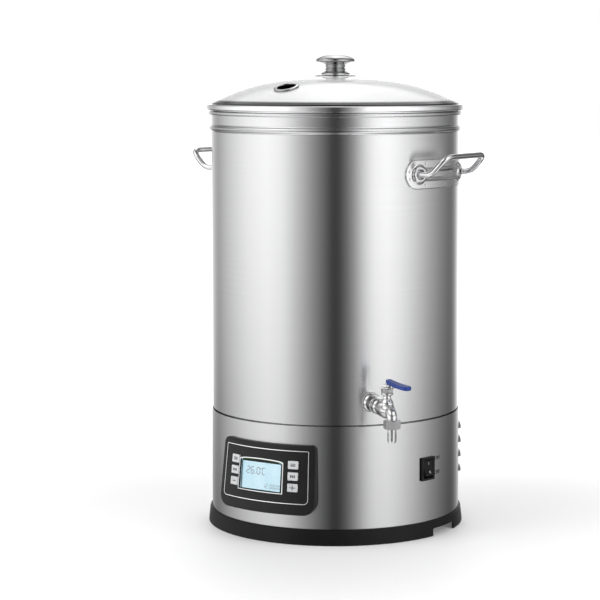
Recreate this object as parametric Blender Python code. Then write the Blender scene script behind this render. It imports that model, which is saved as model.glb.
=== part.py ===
"""Electric all-in-one brewer: kettle with mash basket, glass lid, heated base, control panel and tap.

Metres, +Z up. The origin is on the floor under the middle of the kettle, and the control panel faces -Y.
An azimuth is an angle about +Z, measured from the front (-Y) towards +X.
"""

import math

import bmesh
import bpy
from mathutils import Matrix, Vector

# ---------------------------------------------------------------- driving dimensions

GAP = 0.0003                  # clearance between pieces that touch on the real object
ROUND_STEPS = 48              # facets round the kettle, and round everything that follows it
FINE_STEPS = 18               # facets round a small turned piece

KETTLE_RADIUS = 0.1700        # outside of the kettle wall
KETTLE_WALL = 0.0010
KETTLE_BOTTOM = 0.1400        # underside of the kettle
KETTLE_CORNER = 0.0120        # radius between the kettle's wall and bottom
RIM_TOP = 0.5680              # top of the kettle's rolled rim
RIM_HEIGHT = 0.0052
RIM_REACH = 0.0042            # how far the rolled rim stands out from the wall
BEAD_HEIGHT = 0.0080          # pressed bead under the rim
BEAD_DROP = 0.0230            # middle of the bead, below the rim top
BEAD_REACH = 0.0030

SKIRT_ROOM = 0.0004           # between the kettle's wall and the lower housing
SKIRT_WALL = 0.0010
SKIRT_OVERLAP = 0.0182        # how far the housing reaches up past the kettle's bottom
RING_TOP = 0.0207             # top of the black base ring
RING_TOP_REACH = 0.0031       # how far the ring stands out from the housing, at its top
RING_FOOT_REACH = 0.0051      # and at its foot
RING_WALL = 0.0035
RING_LEDGE_BOTTOM = 0.0100    # ledge inside the ring, under the base plate
RING_LEDGE_THICKNESS = 0.0025
RING_LEDGE_INSET = 0.0214     # inner edge of the ledge, in from the housing's outside
RING_SPIGOT_HEIGHT = 0.0090   # part of the ring that stands up inside the skirt
NOTCH_WIDTH = 0.0560          # finger cut-outs in the base ring, at both sides
NOTCH_HEIGHT = 0.0102
BASE_PLATE_THICKNESS = 0.0020
BASE_SCREW_INSET = 0.0124     # circle of the base plate's screws, in from the housing's outside
BASE_SCREWS = (60.0, 180.0, 300.0)   # azimuths in degrees
BASE_SCREW_SHANK = 0.0020
BASE_SCREW_HEAD = 0.0040

LOUVRE_COLUMNS = (127.5, -127.5)   # azimuths in degrees
LOUVRE_BOTTOMS = (0.0680, 0.0885, 0.1085, 0.1280)
LOUVRE_HALF_ANGLE = 9.5
LOUVRE_HEIGHT = 0.0100
LOUVRE_REACH = 0.0032
LOUVRE_METAL = 0.0008

HANDLE_DROP = 0.0810          # middle of the handle's roots, below the rim top
HANDLE_ROD = 0.0040           # radius of the bent rod
HANDLE_SPACING = 0.1060       # between the two legs
HANDLE_STRAIGHT = 0.0190
HANDLE_REACH = 0.0410         # from the leg's root to the grip's centre line
HANDLE_RISE = 0.0235
HANDLE_BEND = 0.0150          # bend radius at the grip's corners
PLATE_HEIGHT = 0.0390
PLATE_METAL = 0.0012
PLATE_LENGTH = 0.1500         # along the kettle's wall
BOSS_RADIUS = 0.0135
BOSS_HOLE = 0.0068
BOSS_REACH = 0.0050
RIDGE_HEIGHT = 0.0180
RIDGE_REACH = 0.0038

GLASS_INSET = 0.0006          # edge of the glass, in from the kettle's outside
GLASS_EDGE_RISE = 0.0108      # top of the glass at its edge, above the rim top
GLASS_CROWN = 0.0349          # height of the middle above the edge
GLASS_CROWN_POWER = 2.7       # a higher power makes a flatter middle and a steeper edge
GLASS_THICKNESS = 0.0040
GLASS_FLAT = 0.0310           # radius of the flat middle under the knob
BAND_OVERHANG = 0.0026        # how far the band stands out past the kettle's rim
BAND_RISE = 0.0088            # top of the band, above the rim top
BAND_METAL = 0.0012
BAND_LIP_ROOM = 0.0030        # between the kettle and the lip that locates the lid in it
BAND_LIP_DEPTH = 0.0090
EYELET_INSET = 0.0490         # steam eyelet's middle, in from the edge of the glass
EYELET_BORE = 0.0125
EYELET_TUBE = 0.0140
EYELET_FLANGE = 0.0170
EYELET_FLANGE_THICKNESS = 0.0015
EYELET_CROWN_ROOM = 0.0009    # how far the glass curves away under the eyelet's flat flanges
KNOB_CAP_RADIUS = 0.0270
KNOB_NECK_RADIUS = 0.0135
KNOB_FOOT_RADIUS = 0.0200
KNOB_HEIGHT = 0.0270
KNOB_FLANGE_RADIUS = 0.0290
KNOB_FLANGE_THICKNESS = 0.0025
KNOB_SCREW_RADIUS = 0.0030
KNOB_SCREW_HEAD = 0.0075
KNOB_SEAL_RADIUS = 0.0120
KNOB_SEAL_THICKNESS = 0.0015

BASKET_ROOM = 0.0190          # between the basket and the kettle's wall
BASKET_WALL = 0.0010
BASKET_LIFT = 0.0160          # underside of the basket's bottom, above the kettle's
BASKET_DROP = 0.0380          # top of the basket, below the kettle's rim top
BASKET_LEDGE = 0.0120         # how far the bottom of the wall turns in
BASKET_RIM_REACH = 0.0035
BASKET_FOOT_RADIUS = 0.0050
BASKET_FOOT_INSET = 0.0075    # middle of each foot, in from the basket's wall
BASKET_FEET = (30, 150, 270)  # azimuths in degrees
SCREEN_THICKNESS = 0.0015
SCREEN_HOLE = 0.0080
SCREEN_PITCH = 0.0580
BAIL_DROP = 0.0180            # the bail's pivots, below the top of the basket
BAIL_ROD = 0.0030
BAIL_INSET = 0.0090           # the bail's bow, in from the basket's wall
BAIL_OVERRUN = 0.0030         # how far its ends reach out through the basket's wall

ELEMENT_RING = 0.0850
ELEMENT_ROD = 0.0040
ELEMENT_DROP = 0.0220         # how far its two ends turn down
HEAT_PLATE_RADIUS = 0.1250
HEAT_PLATE_THICKNESS = 0.0050
PROBE_RADIUS = 0.0035
PROBE_FLANGE = 0.0080
CUTOUT_RADIUS = 0.0090
CUTOUT_OFFSET = 0.0450

PANEL_HALF_WIDTH = 0.0733     # measured round the housing
PANEL_BOTTOM = 0.0415
PANEL_TOP = 0.1335
PANEL_TOP_REACH = 0.0062      # how far the face stands out from the skirt, at the top
PANEL_BOTTOM_REACH = 0.0162   # and at the bottom
PANEL_TOP_CORNER = 0.0070
PANEL_BOTTOM_CORNER = 0.0170
PANEL_FACE = 0.0025           # thickness of the face
PANEL_WALL = 0.0025
DISPLAY_AZIMUTH = -1.0
DISPLAY_WIDTH = 0.0650        # opening in the panel's face
DISPLAY_BOTTOM = 0.0695
DISPLAY_HEIGHT = 0.0390
DISPLAY_ARCH = 0.0035         # how far the opening's top is arched
DISPLAY_FRAME = 0.0018
DISPLAY_FRAME_PROUD = 0.0010
WINDOW_THICKNESS = 0.0020
WINDOW_SINK = 0.0045          # front of the window, behind the middle of the face
MODULE_THICKNESS = 0.0070
BUTTON_WIDTH = 0.0142
BUTTON_HEIGHT = 0.0108
BUTTON_PROUD = 0.0014
BUTTON_LIP = 0.0008           # flange behind the face that keeps a button in
BUTTON_LIP_THICKNESS = 0.0010
BUTTON_TRAVEL = 0.0008
BUTTON_STEM = 0.0020
BUTTON_OFFSET = 0.043676      # a button's middle, measured round the housing
BUTTON_LEVELS = (0.1078, 0.0929, 0.0780)
BUTTON_NAMES = ("top", "middle", "bottom")
BOARD_INSET = 0.0074          # back of the control board, in from the housing's outside
BOARD_THICKNESS = 0.0016
BOARD_WIDTH = 0.1040
BOARD_BOTTOM = 0.0580
BOARD_HEIGHT = 0.0620
PANEL_CUT_WIDTH = 0.1120      # opening in the skirt behind the panel
PANEL_CUT_BOTTOM = 0.0540
PANEL_CUT_TOP = 0.1230

SWITCH_AZIMUTH = 78.3
SWITCH_LEVEL = 0.0929
SWITCH_WIDTH = 0.0255
SWITCH_HEIGHT = 0.0315
SWITCH_FLANGE = 0.0020
SWITCH_BODY_WIDTH = 0.0216
SWITCH_BODY_HEIGHT = 0.0276
SWITCH_BODY_DEPTH = 0.0210
SWITCH_WELL_WIDTH = 0.0185
SWITCH_WELL_HEIGHT = 0.0255
SWITCH_WELL_DEPTH = 0.0130
ROCKER_WIDTH = 0.0176
ROCKER_HALF_LENGTH = 0.0108
ROCKER_VALLEY = 0.0055        # from the pivot to the middle of the rocker's face
ROCKER_PIVOT_RADIUS = 0.0015
ROCKER_PIVOT_LENGTH = 0.0200
ROCKER_SWING = 24.0           # degrees between on and off

INLET_LEVEL = 0.0600          # mains inlet, at the back
INLET_WIDTH = 0.0300
INLET_HEIGHT = 0.0240
INLET_FLANGE = 0.0080         # the inlet's raised shroud round the mains connector
INLET_BODY_WIDTH = 0.0270
INLET_BODY_HEIGHT = 0.0200
INLET_BODY_DEPTH = 0.0200
INLET_WELL_WIDTH = 0.0240
INLET_WELL_HEIGHT = 0.0165
INLET_WELL_DEPTH = 0.0160

TAP_AZIMUTH = 48.6
TAP_RISE = 0.0502             # the tap's line, above the kettle's bottom
TAP_SHANK_THREAD = 0.0100     # radius of the thread through the kettle's wall
TAP_SHANK_INSET = 0.0130      # inner end of the shank, in from the kettle's outside
TAP_FLANGE = 0.0125
TAP_COLLAR = 0.0115
TAP_BODY = 0.0105
TAP_BODY_REACH = 0.0300       # near end of the body, out from the kettle's wall
TAP_BORE = 0.0038
TAP_SEAL_RADIUS = 0.0130
TAP_SEAL_THICKNESS = 0.0020
BACK_NUT_FLATS = 0.0270
BACK_NUT_THICKNESS = 0.0055
STEM_REACH = 0.0385           # valve stem, out from the body's near end
BALL_RADIUS = 0.0065
CHAMBER_ROOM = 0.0005
SEAT_THICKNESS = 0.0027
SPOUT_REACH = 0.0210          # spout, out from the valve stem
SPOUT_RADIUS = 0.0066
SPOUT_RISE = 0.0096           # top of the spout, above the tap's line
SPOUT_DROP = 0.0142           # end of the spout, below the tap's line
STEM_RADIUS = 0.0028
NECK_RADIUS = 0.0049
NECK_RISE = 0.0233            # top of the neck, above the tap's line
PACKING_NUT_FLATS = 0.0140
PACKING_NUT_THICKNESS = 0.0050
LEVER_REST_ANGLE = 34.0       # lever turned from the tap's own line, in degrees
LEVER_LENGTH = 0.0370
LEVER_METAL = 0.0015
LEVER_STRAP_WIDTH = 0.0080
LEVER_HUB_WIDTH = 0.0140
LEVER_HUB_HALF_LENGTH = 0.0090
LEVER_DROP = 0.0070           # how far the grip slopes down to its tip
LEVER_RISE = 0.0080           # grip's strap above the hub plate, at the stem
SLEEVE_WIDTH = 0.0130
SLEEVE_THICKNESS = 0.0046
SLEEVE_OVERHANG = 0.0020      # near end of the sleeve, from the stem's axis
LEVER_NUT_FLATS = 0.0085
LEVER_NUT_THICKNESS = 0.0034
HOSE_NUT_FLATS = 0.0196
HOSE_NUT_OVERLAP = 0.0055     # how far the nut reaches up round the spout
HOSE_NUT_DROP = 0.0060        # and down past its end
BARB_DROP = 0.0240            # end of the hose barb, below the spout's end
BARB_RADIUS = 0.0055
BARB_RIDGE = 0.0007
BARB_BORE = 0.0038

POWER_BOARD = (0.0900, 0.0600, 0.0016)
POWER_BOARD_LIFT = 0.0080
POWER_BOARD_Y = 0.0300
TRAY_WALL = 0.0030
RELAY_SIZE = (0.0300, 0.0280, 0.0200)
TERMINAL_SIZE = (0.0420, 0.0180, 0.0150)
TERMINAL_Y = 0.1050
WIRE_RADIUS = 0.0014

# ---------------------------------------------------------------- derived sizes

KETTLE_INSIDE = KETTLE_RADIUS - KETTLE_WALL
KETTLE_FLOOR = KETTLE_BOTTOM + KETTLE_WALL
BEAD_LEVEL = RIM_TOP - BEAD_DROP
SKIRT_INSIDE = KETTLE_RADIUS + SKIRT_ROOM
SKIRT_RADIUS = SKIRT_INSIDE + SKIRT_WALL      # outside of the lower housing
SKIRT_TOP = KETTLE_BOTTOM + SKIRT_OVERLAP
RING_TOP_RADIUS = SKIRT_RADIUS + RING_TOP_REACH
RING_FOOT_RADIUS = SKIRT_RADIUS + RING_FOOT_REACH
RING_LEDGE_RADIUS = SKIRT_RADIUS - RING_LEDGE_INSET
BASE_SCREW_RADIUS = SKIRT_RADIUS - BASE_SCREW_INSET
HANDLE_HEIGHT = RIM_TOP - HANDLE_DROP
GLASS_RADIUS = KETTLE_RADIUS - GLASS_INSET
GLASS_EDGE_TOP = RIM_TOP + GLASS_EDGE_RISE
BAND_RADIUS = KETTLE_RADIUS + RIM_REACH + BAND_OVERHANG
BAND_TOP = RIM_TOP + BAND_RISE
BAND_LIP_RADIUS = KETTLE_INSIDE - BAND_LIP_ROOM
EYELET_OFFSET = GLASS_RADIUS - EYELET_INSET
BASKET_RADIUS = KETTLE_INSIDE - BASKET_ROOM
BASKET_BOTTOM = KETTLE_BOTTOM + BASKET_LIFT
BASKET_TOP = RIM_TOP - BASKET_DROP
BASKET_FOOT_CIRCLE = BASKET_RADIUS - BASKET_FOOT_INSET
BAIL_HEIGHT = BASKET_TOP - BAIL_DROP
BAIL_RING = BASKET_RADIUS - BAIL_INSET
BAIL_END = BASKET_RADIUS + BAIL_OVERRUN
PANEL_HALF_ANGLE = math.degrees(PANEL_HALF_WIDTH / SKIRT_RADIUS)
BUTTON_AZIMUTH = math.degrees(BUTTON_OFFSET / SKIRT_RADIUS)
BOARD_DISTANCE = SKIRT_RADIUS - BOARD_INSET
TAP_LEVEL = KETTLE_BOTTOM + TAP_RISE
TAP_SHANK_END = KETTLE_RADIUS - TAP_SHANK_INSET
TAP_BODY_START = KETTLE_RADIUS + TAP_BODY_REACH
STEM_DISTANCE = TAP_BODY_START + STEM_REACH
SPOUT_DISTANCE = STEM_DISTANCE + SPOUT_REACH
SPOUT_TOP = TAP_LEVEL + SPOUT_RISE
SPOUT_END = TAP_LEVEL - SPOUT_DROP
NECK_TOP = TAP_LEVEL + NECK_RISE
HOSE_NUT_TOP = SPOUT_END + HOSE_NUT_OVERLAP
HOSE_NUT_BOTTOM = SPOUT_END - HOSE_NUT_DROP
BARB_END = SPOUT_END - BARB_DROP
SKIRT_BOTTOM = RING_TOP + GAP
SPIGOT_RADIUS = SKIRT_INSIDE - GAP
CUT_FAR = SKIRT_RADIUS + 0.0286               # a cutter through the housing's wall starts out here
CUT_NEAR = SKIRT_RADIUS - 0.0714              # and ends here
LEDGE_TOP = RING_LEDGE_BOTTOM + RING_LEDGE_THICKNESS
BASE_PLATE_BOTTOM = LEDGE_TOP + GAP
BASE_PLATE_TOP = BASE_PLATE_BOTTOM + BASE_PLATE_THICKNESS
FACET = math.tau / ROUND_STEPS
FACET_DIP = KETTLE_RADIUS * (1.0 - math.cos(FACET / 2.0))
GLASS_TOP = GLASS_EDGE_TOP + GLASS_CROWN
BAND_SEAT = GLASS_EDGE_TOP - GLASS_THICKNESS - GAP
PANEL_LEAN = math.atan2(PANEL_BOTTOM_REACH - PANEL_TOP_REACH, PANEL_TOP - PANEL_BOTTOM)
HEAT_PLATE_TOP = KETTLE_BOTTOM - GAP
HEAT_PLATE_BOTTOM = HEAT_PLATE_TOP - HEAT_PLATE_THICKNESS
BOARD_FRONT = BOARD_DISTANCE + BOARD_THICKNESS
LEVER_HUB_BOTTOM = NECK_TOP + GAP + PACKING_NUT_THICKNESS + GAP * 2
LEVER_HUB_TOP = LEVER_HUB_BOTTOM + LEVER_METAL
POWER_BOARD_BOTTOM = BASE_PLATE_TOP + POWER_BOARD_LIFT
POWER_BOARD_TOP = POWER_BOARD_BOTTOM + POWER_BOARD[2]


# ---------------------------------------------------------------- scene, materials and objects

def clear_scene():
    for item in list(bpy.data.objects):
        bpy.data.objects.remove(item, do_unlink=True)


def make_material(name, color, roughness, metallic):
    material = bpy.data.materials.new(name)
    material.use_nodes = True
    shader = material.node_tree.nodes["Principled BSDF"]
    shader.inputs["Base Color"].default_value = (*color, 1.0)
    shader.inputs["Roughness"].default_value = roughness
    shader.inputs["Metallic"].default_value = metallic
    material.diffuse_color = (*color, 1.0)
    return material


def make_materials():
    return {
        "brushed_steel": make_material("brushed_steel", (0.62, 0.62, 0.63), 0.28, 1.0),
        "polished_steel": make_material("polished_steel", (0.72, 0.72, 0.74), 0.10, 1.0),
        "glass": make_material("glass", (0.85, 0.88, 0.88), 0.05, 0.0),
        "black_plastic": make_material("black_plastic", (0.02, 0.02, 0.022), 0.45, 0.0),
        "light_plastic": make_material("light_plastic", (0.75, 0.75, 0.76), 0.40, 0.0),
        "display": make_material("display", (0.70, 0.90, 0.97), 0.15, 0.0),
        "blue_vinyl": make_material("blue_vinyl", (0.05, 0.08, 0.35), 0.35, 0.0),
        "silicone": make_material("silicone", (0.55, 0.55, 0.53), 0.60, 0.0),
        "ptfe": make_material("ptfe", (0.90, 0.90, 0.88), 0.50, 0.0),
        "aluminium": make_material("aluminium", (0.60, 0.60, 0.60), 0.45, 1.0),
        "circuit_board": make_material("circuit_board", (0.03, 0.16, 0.07), 0.50, 0.0),
        "wire": make_material("wire", (0.45, 0.05, 0.04), 0.50, 0.0),
    }


def make_empty(name, location=(0.0, 0.0, 0.0), azimuth=0.0, parent=None):
    empty = bpy.data.objects.new(name, None)
    empty.location = location
    empty.rotation_euler.z = math.radians(azimuth)
    empty.parent = parent
    bpy.context.collection.objects.link(empty)
    return empty


def make_object(name, bm, material, parent=None, location=(0.0, 0.0, 0.0), rotation=(0.0, 0.0, 0.0)):
    mesh = bpy.data.meshes.new(name)
    bm.to_mesh(mesh)
    bm.free()
    mesh.shade_smooth()
    mesh.set_sharp_from_angle(angle=math.radians(35.0))
    mesh.materials.append(material)
    item = bpy.data.objects.new(name, mesh)
    item.location = location
    item.rotation_euler = rotation
    item.parent = parent
    bpy.context.collection.objects.link(item)
    return item


def add_boolean(item, tool, operation):
    modifier = item.modifiers.new(operation.lower(), "BOOLEAN")
    modifier.operation = operation
    modifier.solver = "EXACT"
    modifier.object = tool
    tool.hide_render = True
    tool.display_type = "WIRE"


def cut(item, tool):
    add_boolean(item, tool, "DIFFERENCE")


def join(item, tool):
    add_boolean(item, tool, "UNION")


def bake_modifiers(item):
    """Replace an object's mesh by its evaluated one, and return that as a bmesh."""
    tools = [modifier.object for modifier in item.modifiers]
    graph = bpy.context.evaluated_depsgraph_get()
    bm = bmesh.new()
    bm.from_object(item, graph)
    for tool in tools:
        bpy.data.objects.remove(tool, do_unlink=True)
    bpy.data.objects.remove(item, do_unlink=True)
    return bm


# ---------------------------------------------------------------- shapes

def point_on(azimuth, radius, level):
    """A point at an azimuth in degrees, a distance from the kettle's axis and a height."""
    angle = math.radians(azimuth)
    return Vector((radius * math.sin(angle), -radius * math.cos(angle), level))


def finish_solid(bm):
    bmesh.ops.remove_doubles(bm, verts=bm.verts, dist=1e-6)
    bmesh.ops.recalc_face_normals(bm, faces=bm.faces)
    return bm


def turned(profile, steps=FINE_STEPS, phase=0.0):
    """A solid of revolution about +Z from a closed outline of (radius, height) points.

    Crossing round solids start at different phases in degrees, so that no edge of one lies on the other's.
    """
    bm = bmesh.new()
    verts = [bm.verts.new((radius, 0.0, height)) for radius, height in profile]
    edges = [bm.edges.new((verts[i - 1], verts[i])) for i in range(len(verts))]
    axis_edges = [edge for edge in edges if all(vert.co.x < 1e-9 for vert in edge.verts)]
    bmesh.ops.delete(bm, geom=axis_edges, context="EDGES")
    bmesh.ops.spin(bm, geom=bm.verts[:] + bm.edges[:], cent=(0.0, 0.0, 0.0), axis=(0.0, 0.0, 1.0),
                   angle=math.tau, steps=steps, use_merge=True)
    bmesh.ops.rotate(bm, verts=bm.verts, cent=(0.0, 0.0, 0.0),
                     matrix=Matrix.Rotation(math.radians(phase), 3, "Z"))
    return finish_solid(bm)


def disc(radius, bottom, top, steps=FINE_STEPS, phase=0.0):
    return turned([(0.0, bottom), (radius, bottom), (radius, top), (0.0, top)], steps, phase)


def ring(inner, outer, bottom, top, steps=FINE_STEPS):
    return turned([(inner, bottom), (outer, bottom), (outer, top), (inner, top)], steps)


def box(low, high):
    bm = bmesh.new()
    bmesh.ops.create_cube(bm, size=1.0)
    size = Vector(high) - Vector(low)
    middle = (Vector(high) + Vector(low)) / 2.0
    bmesh.ops.transform(bm, matrix=Matrix.Translation(middle) @ Matrix.Diagonal((*size, 1.0)), verts=bm.verts)
    return bm


def prism(outline, near, far):
    """An outline of (x, z) points, extruded along Y from near to far."""
    bm = bmesh.new()
    face = bm.faces.new([bm.verts.new((x, near, z)) for x, z in outline])
    extruded = bmesh.ops.extrude_face_region(bm, geom=[face])
    moved = [item for item in extruded["geom"] if isinstance(item, bmesh.types.BMVert)]
    bmesh.ops.translate(bm, verts=moved, vec=(0.0, far - near, 0.0))
    return finish_solid(bm)


def outward(bm, level):
    """Turn a solid built about +Z so that it points out of the front, at a height."""
    turn = Matrix.Translation((0.0, 0.0, level)) @ Matrix.Rotation(math.radians(90.0), 4, "X")
    bmesh.ops.transform(bm, matrix=turn, verts=bm.verts)
    return bm


def hexagon(flats, bore, bottom, top, steps=FINE_STEPS):
    """A hexagon nut about +Z with a round bore."""
    corner = flats / math.sqrt(3.0)
    bm = bmesh.new()
    loops = []
    for level in (bottom, top):
        outer = [bm.verts.new((corner * math.cos(math.radians(60 * i)),
                               corner * math.sin(math.radians(60 * i)), level)) for i in range(6)]
        inner = [bm.verts.new((bore * math.cos(math.tau * i / steps),
                               bore * math.sin(math.tau * i / steps), level)) for i in range(steps)]
        loops.append((outer, inner))
    for side in (0, 1):
        (lower, upper) = (loops[0][side], loops[1][side])
        for i in range(len(lower)):
            bm.faces.new((lower[i - 1], lower[i], upper[i], upper[i - 1]))
    per_side = steps // 6
    for outer, inner in loops:
        for i in range(6):
            arc = [inner[(i * per_side + j) % steps] for j in range(per_side + 1)]
            bm.faces.new([outer[i], outer[(i + 1) % 6]] + arc[::-1])
    return finish_solid(bm)


def rounded_outline(low, high, corners, steps=5):
    """A rectangle of (x, z) points whose four corner radii are given from the lower left, anticlockwise."""
    centres = ((low[0], low[1], 1, 1, 180), (high[0], low[1], -1, 1, 270),
               (high[0], high[1], -1, -1, 0), (low[0], high[1], 1, -1, 90))
    points = []
    for (x, z, right, up, start), radius in zip(centres, corners):
        for i in range(steps + 1):
            angle = math.radians(start + 90.0 * i / steps)
            points.append((x + right * radius + radius * math.cos(angle),
                           z + up * radius + radius * math.sin(angle)))
    return points


def wrap(bm, radius_at, phase=0.0):
    """Bend a flat solid round the kettle: x becomes arc length on the skirt, y goes through radius_at(y, z).

    A tool is bent at another phase than the piece that it cuts, so that their facets never lie edge on edge.
    """
    step = FACET * SKIRT_RADIUS
    reach = max(abs(vert.co.x) for vert in bm.verts)
    for i in range(-int(reach / step), int(reach / step) + 1):
        geom = bm.verts[:] + bm.edges[:] + bm.faces[:]
        bmesh.ops.bisect_plane(bm, geom=geom, dist=1e-7, plane_co=((i + phase) * step, 0.0, 0.0),
                               plane_no=(1.0, 0.0, 0.0))
    bmesh.ops.remove_doubles(bm, verts=bm.verts, dist=1e-6)
    bmesh.ops.triangulate(bm, faces=bm.faces)
    for vert in bm.verts:
        radius = radius_at(vert.co.y, vert.co.z)
        angle = vert.co.x / SKIRT_RADIUS
        vert.co = (radius * math.sin(angle), -radius * math.cos(angle), vert.co.z)
    return bm


def bent_rod(name, points, radius, material, parent=None, resolution=3, location=(0.0, 0.0, 0.0)):
    curve = bpy.data.curves.new(name, "CURVE")
    curve.dimensions = "3D"
    curve.bevel_depth = radius
    curve.bevel_resolution = resolution
    curve.use_fill_caps = True
    spline = curve.splines.new("POLY")
    spline.points.add(len(points) - 1)
    for target, point in zip(spline.points, points):
        target.co = (*point, 1.0)
    curve.materials.append(material)
    item = bpy.data.objects.new(name, curve)
    item.parent = parent
    item.location = location
    bpy.context.collection.objects.link(item)
    return item


def round_corners(points, radius, steps=4):
    """Replace each inner corner of a path by a short arc-like curve."""
    path = [Vector(points[0])]
    for before, corner, after in zip(points, points[1:], points[2:]):
        corner = Vector(corner)
        into = (Vector(before) - corner)
        out = (Vector(after) - corner)
        reach = min(radius, into.length * 0.49, out.length * 0.49)
        start = corner + into.normalized() * reach
        end = corner + out.normalized() * reach
        for i in range(steps + 1):
            t = i / steps
            path.append(start * (1 - t) ** 2 + corner * 2 * t * (1 - t) + end * t ** 2)
    path.append(Vector(points[-1]))
    return path


# ---------------------------------------------------------------- kettle and base

def build_kettle(materials):
    low = KETTLE_BOTTOM
    corner = KETTLE_CORNER
    outer_corner = [(KETTLE_RADIUS - corner + corner * math.sin(a), low + corner - corner * math.cos(a))
                    for a in (math.radians(30 * i) for i in range(4))]
    inner_corner = [(r - KETTLE_WALL * (r - KETTLE_RADIUS + corner) / corner,
                     z + KETTLE_WALL * (low + corner - z) / corner) for r, z in outer_corner]
    bead = [(-BEAD_HEIGHT / 2, 0.0), (-BEAD_HEIGHT / 4, BEAD_REACH), (BEAD_HEIGHT / 4, BEAD_REACH),
            (BEAD_HEIGHT / 2, 0.0)]
    outer_bead = [(KETTLE_RADIUS + reach, BEAD_LEVEL + lift) for lift, reach in bead]
    inner_bead = [(r - KETTLE_WALL, z) for r, z in outer_bead]
    rim_out = KETTLE_RADIUS + RIM_REACH
    rim = [(KETTLE_RADIUS, RIM_TOP - RIM_HEIGHT), (rim_out - 0.0012, RIM_TOP - RIM_HEIGHT),
           (rim_out, RIM_TOP - RIM_HEIGHT + 0.0012), (rim_out, RIM_TOP - 0.0012),
           (rim_out - 0.0012, RIM_TOP), (KETTLE_INSIDE, RIM_TOP)]
    profile = ([(0.0, low)] + outer_corner + outer_bead + rim + inner_bead[::-1]
               + inner_corner[::-1] + [(0.0, KETTLE_FLOOR)])
    kettle = make_object("kettle_shell", turned(profile, ROUND_STEPS), materials["brushed_steel"])
    tap_hole = disc(TAP_SHANK_THREAD + GAP * 2, KETTLE_INSIDE - 0.010, KETTLE_RADIUS + 0.010)
    cut(kettle, make_object("tap_hole_cutter", outward(tap_hole, TAP_LEVEL), materials["ptfe"],
                            rotation=(0.0, 0.0, math.radians(TAP_AZIMUTH))))
    probe_hole = disc(PROBE_RADIUS + GAP, low - 0.010, low + 0.010)
    cut(kettle, make_object("probe_hole_cutter", probe_hole, materials["ptfe"]))


def build_heater(materials):
    plate = ring(PROBE_FLANGE + 0.004, HEAT_PLATE_RADIUS, HEAT_PLATE_BOTTOM, HEAT_PLATE_TOP, 32)
    make_object("heating_plate", plate, materials["aluminium"])
    level = HEAT_PLATE_BOTTOM - GAP - ELEMENT_ROD
    sweep = [math.radians(20 + 320 * i / 28) for i in range(29)]
    arc = [Vector((ELEMENT_RING * math.sin(a), ELEMENT_RING * math.cos(a), level)) for a in sweep]
    path = [arc[0] - Vector((0, 0, ELEMENT_DROP))] + arc + [arc[-1] - Vector((0, 0, ELEMENT_DROP))]
    bent_rod("heating_element", path, ELEMENT_ROD, materials["polished_steel"], resolution=1)

    floor = KETTLE_FLOOR + GAP
    probe = [(0.0, HEAT_PLATE_BOTTOM - 0.012), (PROBE_RADIUS, HEAT_PLATE_BOTTOM - 0.012),
             (PROBE_RADIUS, floor),
             (PROBE_FLANGE, floor), (PROBE_FLANGE, floor + 0.0015), (PROBE_RADIUS, floor + 0.0015),
             (PROBE_RADIUS - 0.001, floor + 0.006), (0.0, floor + 0.006)]
    make_object("temperature_probe", turned(probe), materials["polished_steel"])
    top = HEAT_PLATE_BOTTOM - GAP
    cutout = [(0.0, top - 0.012), (0.0065, top - 0.012), (0.0065, top - 0.005), (CUTOUT_RADIUS, top - 0.005),
              (CUTOUT_RADIUS, top), (0.0, top)]
    make_object("thermal_cutout", turned(cutout), materials["black_plastic"],
                location=(CUTOUT_OFFSET, 0.0, 0.0))


def louvre_wedges(name, inside, bottom_shift, inset, phase, material):
    """All the louvres' wedges in one guide object, made a metal thickness smaller for the hollows."""
    combined = bmesh.new()
    half = math.radians(LOUVRE_HALF_ANGLE) * SKIRT_RADIUS - inset
    for column in LOUVRE_COLUMNS:
        for bottom in LOUVRE_BOTTOMS:
            low = bottom - bottom_shift
            high = bottom + LOUVRE_HEIGHT - inset * 2.0
            flat = box((-half, 0.0, low), (half, 1.0, high))

            def radius_at(y, z, low=low, high=high):
                slope = LOUVRE_REACH * (1.0 - (z - bottom) / LOUVRE_HEIGHT) - inset
                return SKIRT_RADIUS + slope if y > 0.5 else inside

            wrapped = wrap(flat, radius_at, phase)
            bmesh.ops.rotate(wrapped, verts=wrapped.verts, cent=(0.0, 0.0, 0.0),
                             matrix=Matrix.Rotation(math.radians(column), 3, "Z"))
            mesh = bpy.data.meshes.new("louvre_wedge")
            finish_solid(wrapped).to_mesh(mesh)
            wrapped.free()
            combined.from_mesh(mesh)
            bpy.data.meshes.remove(mesh)
    return make_object(name, combined, material)


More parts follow.
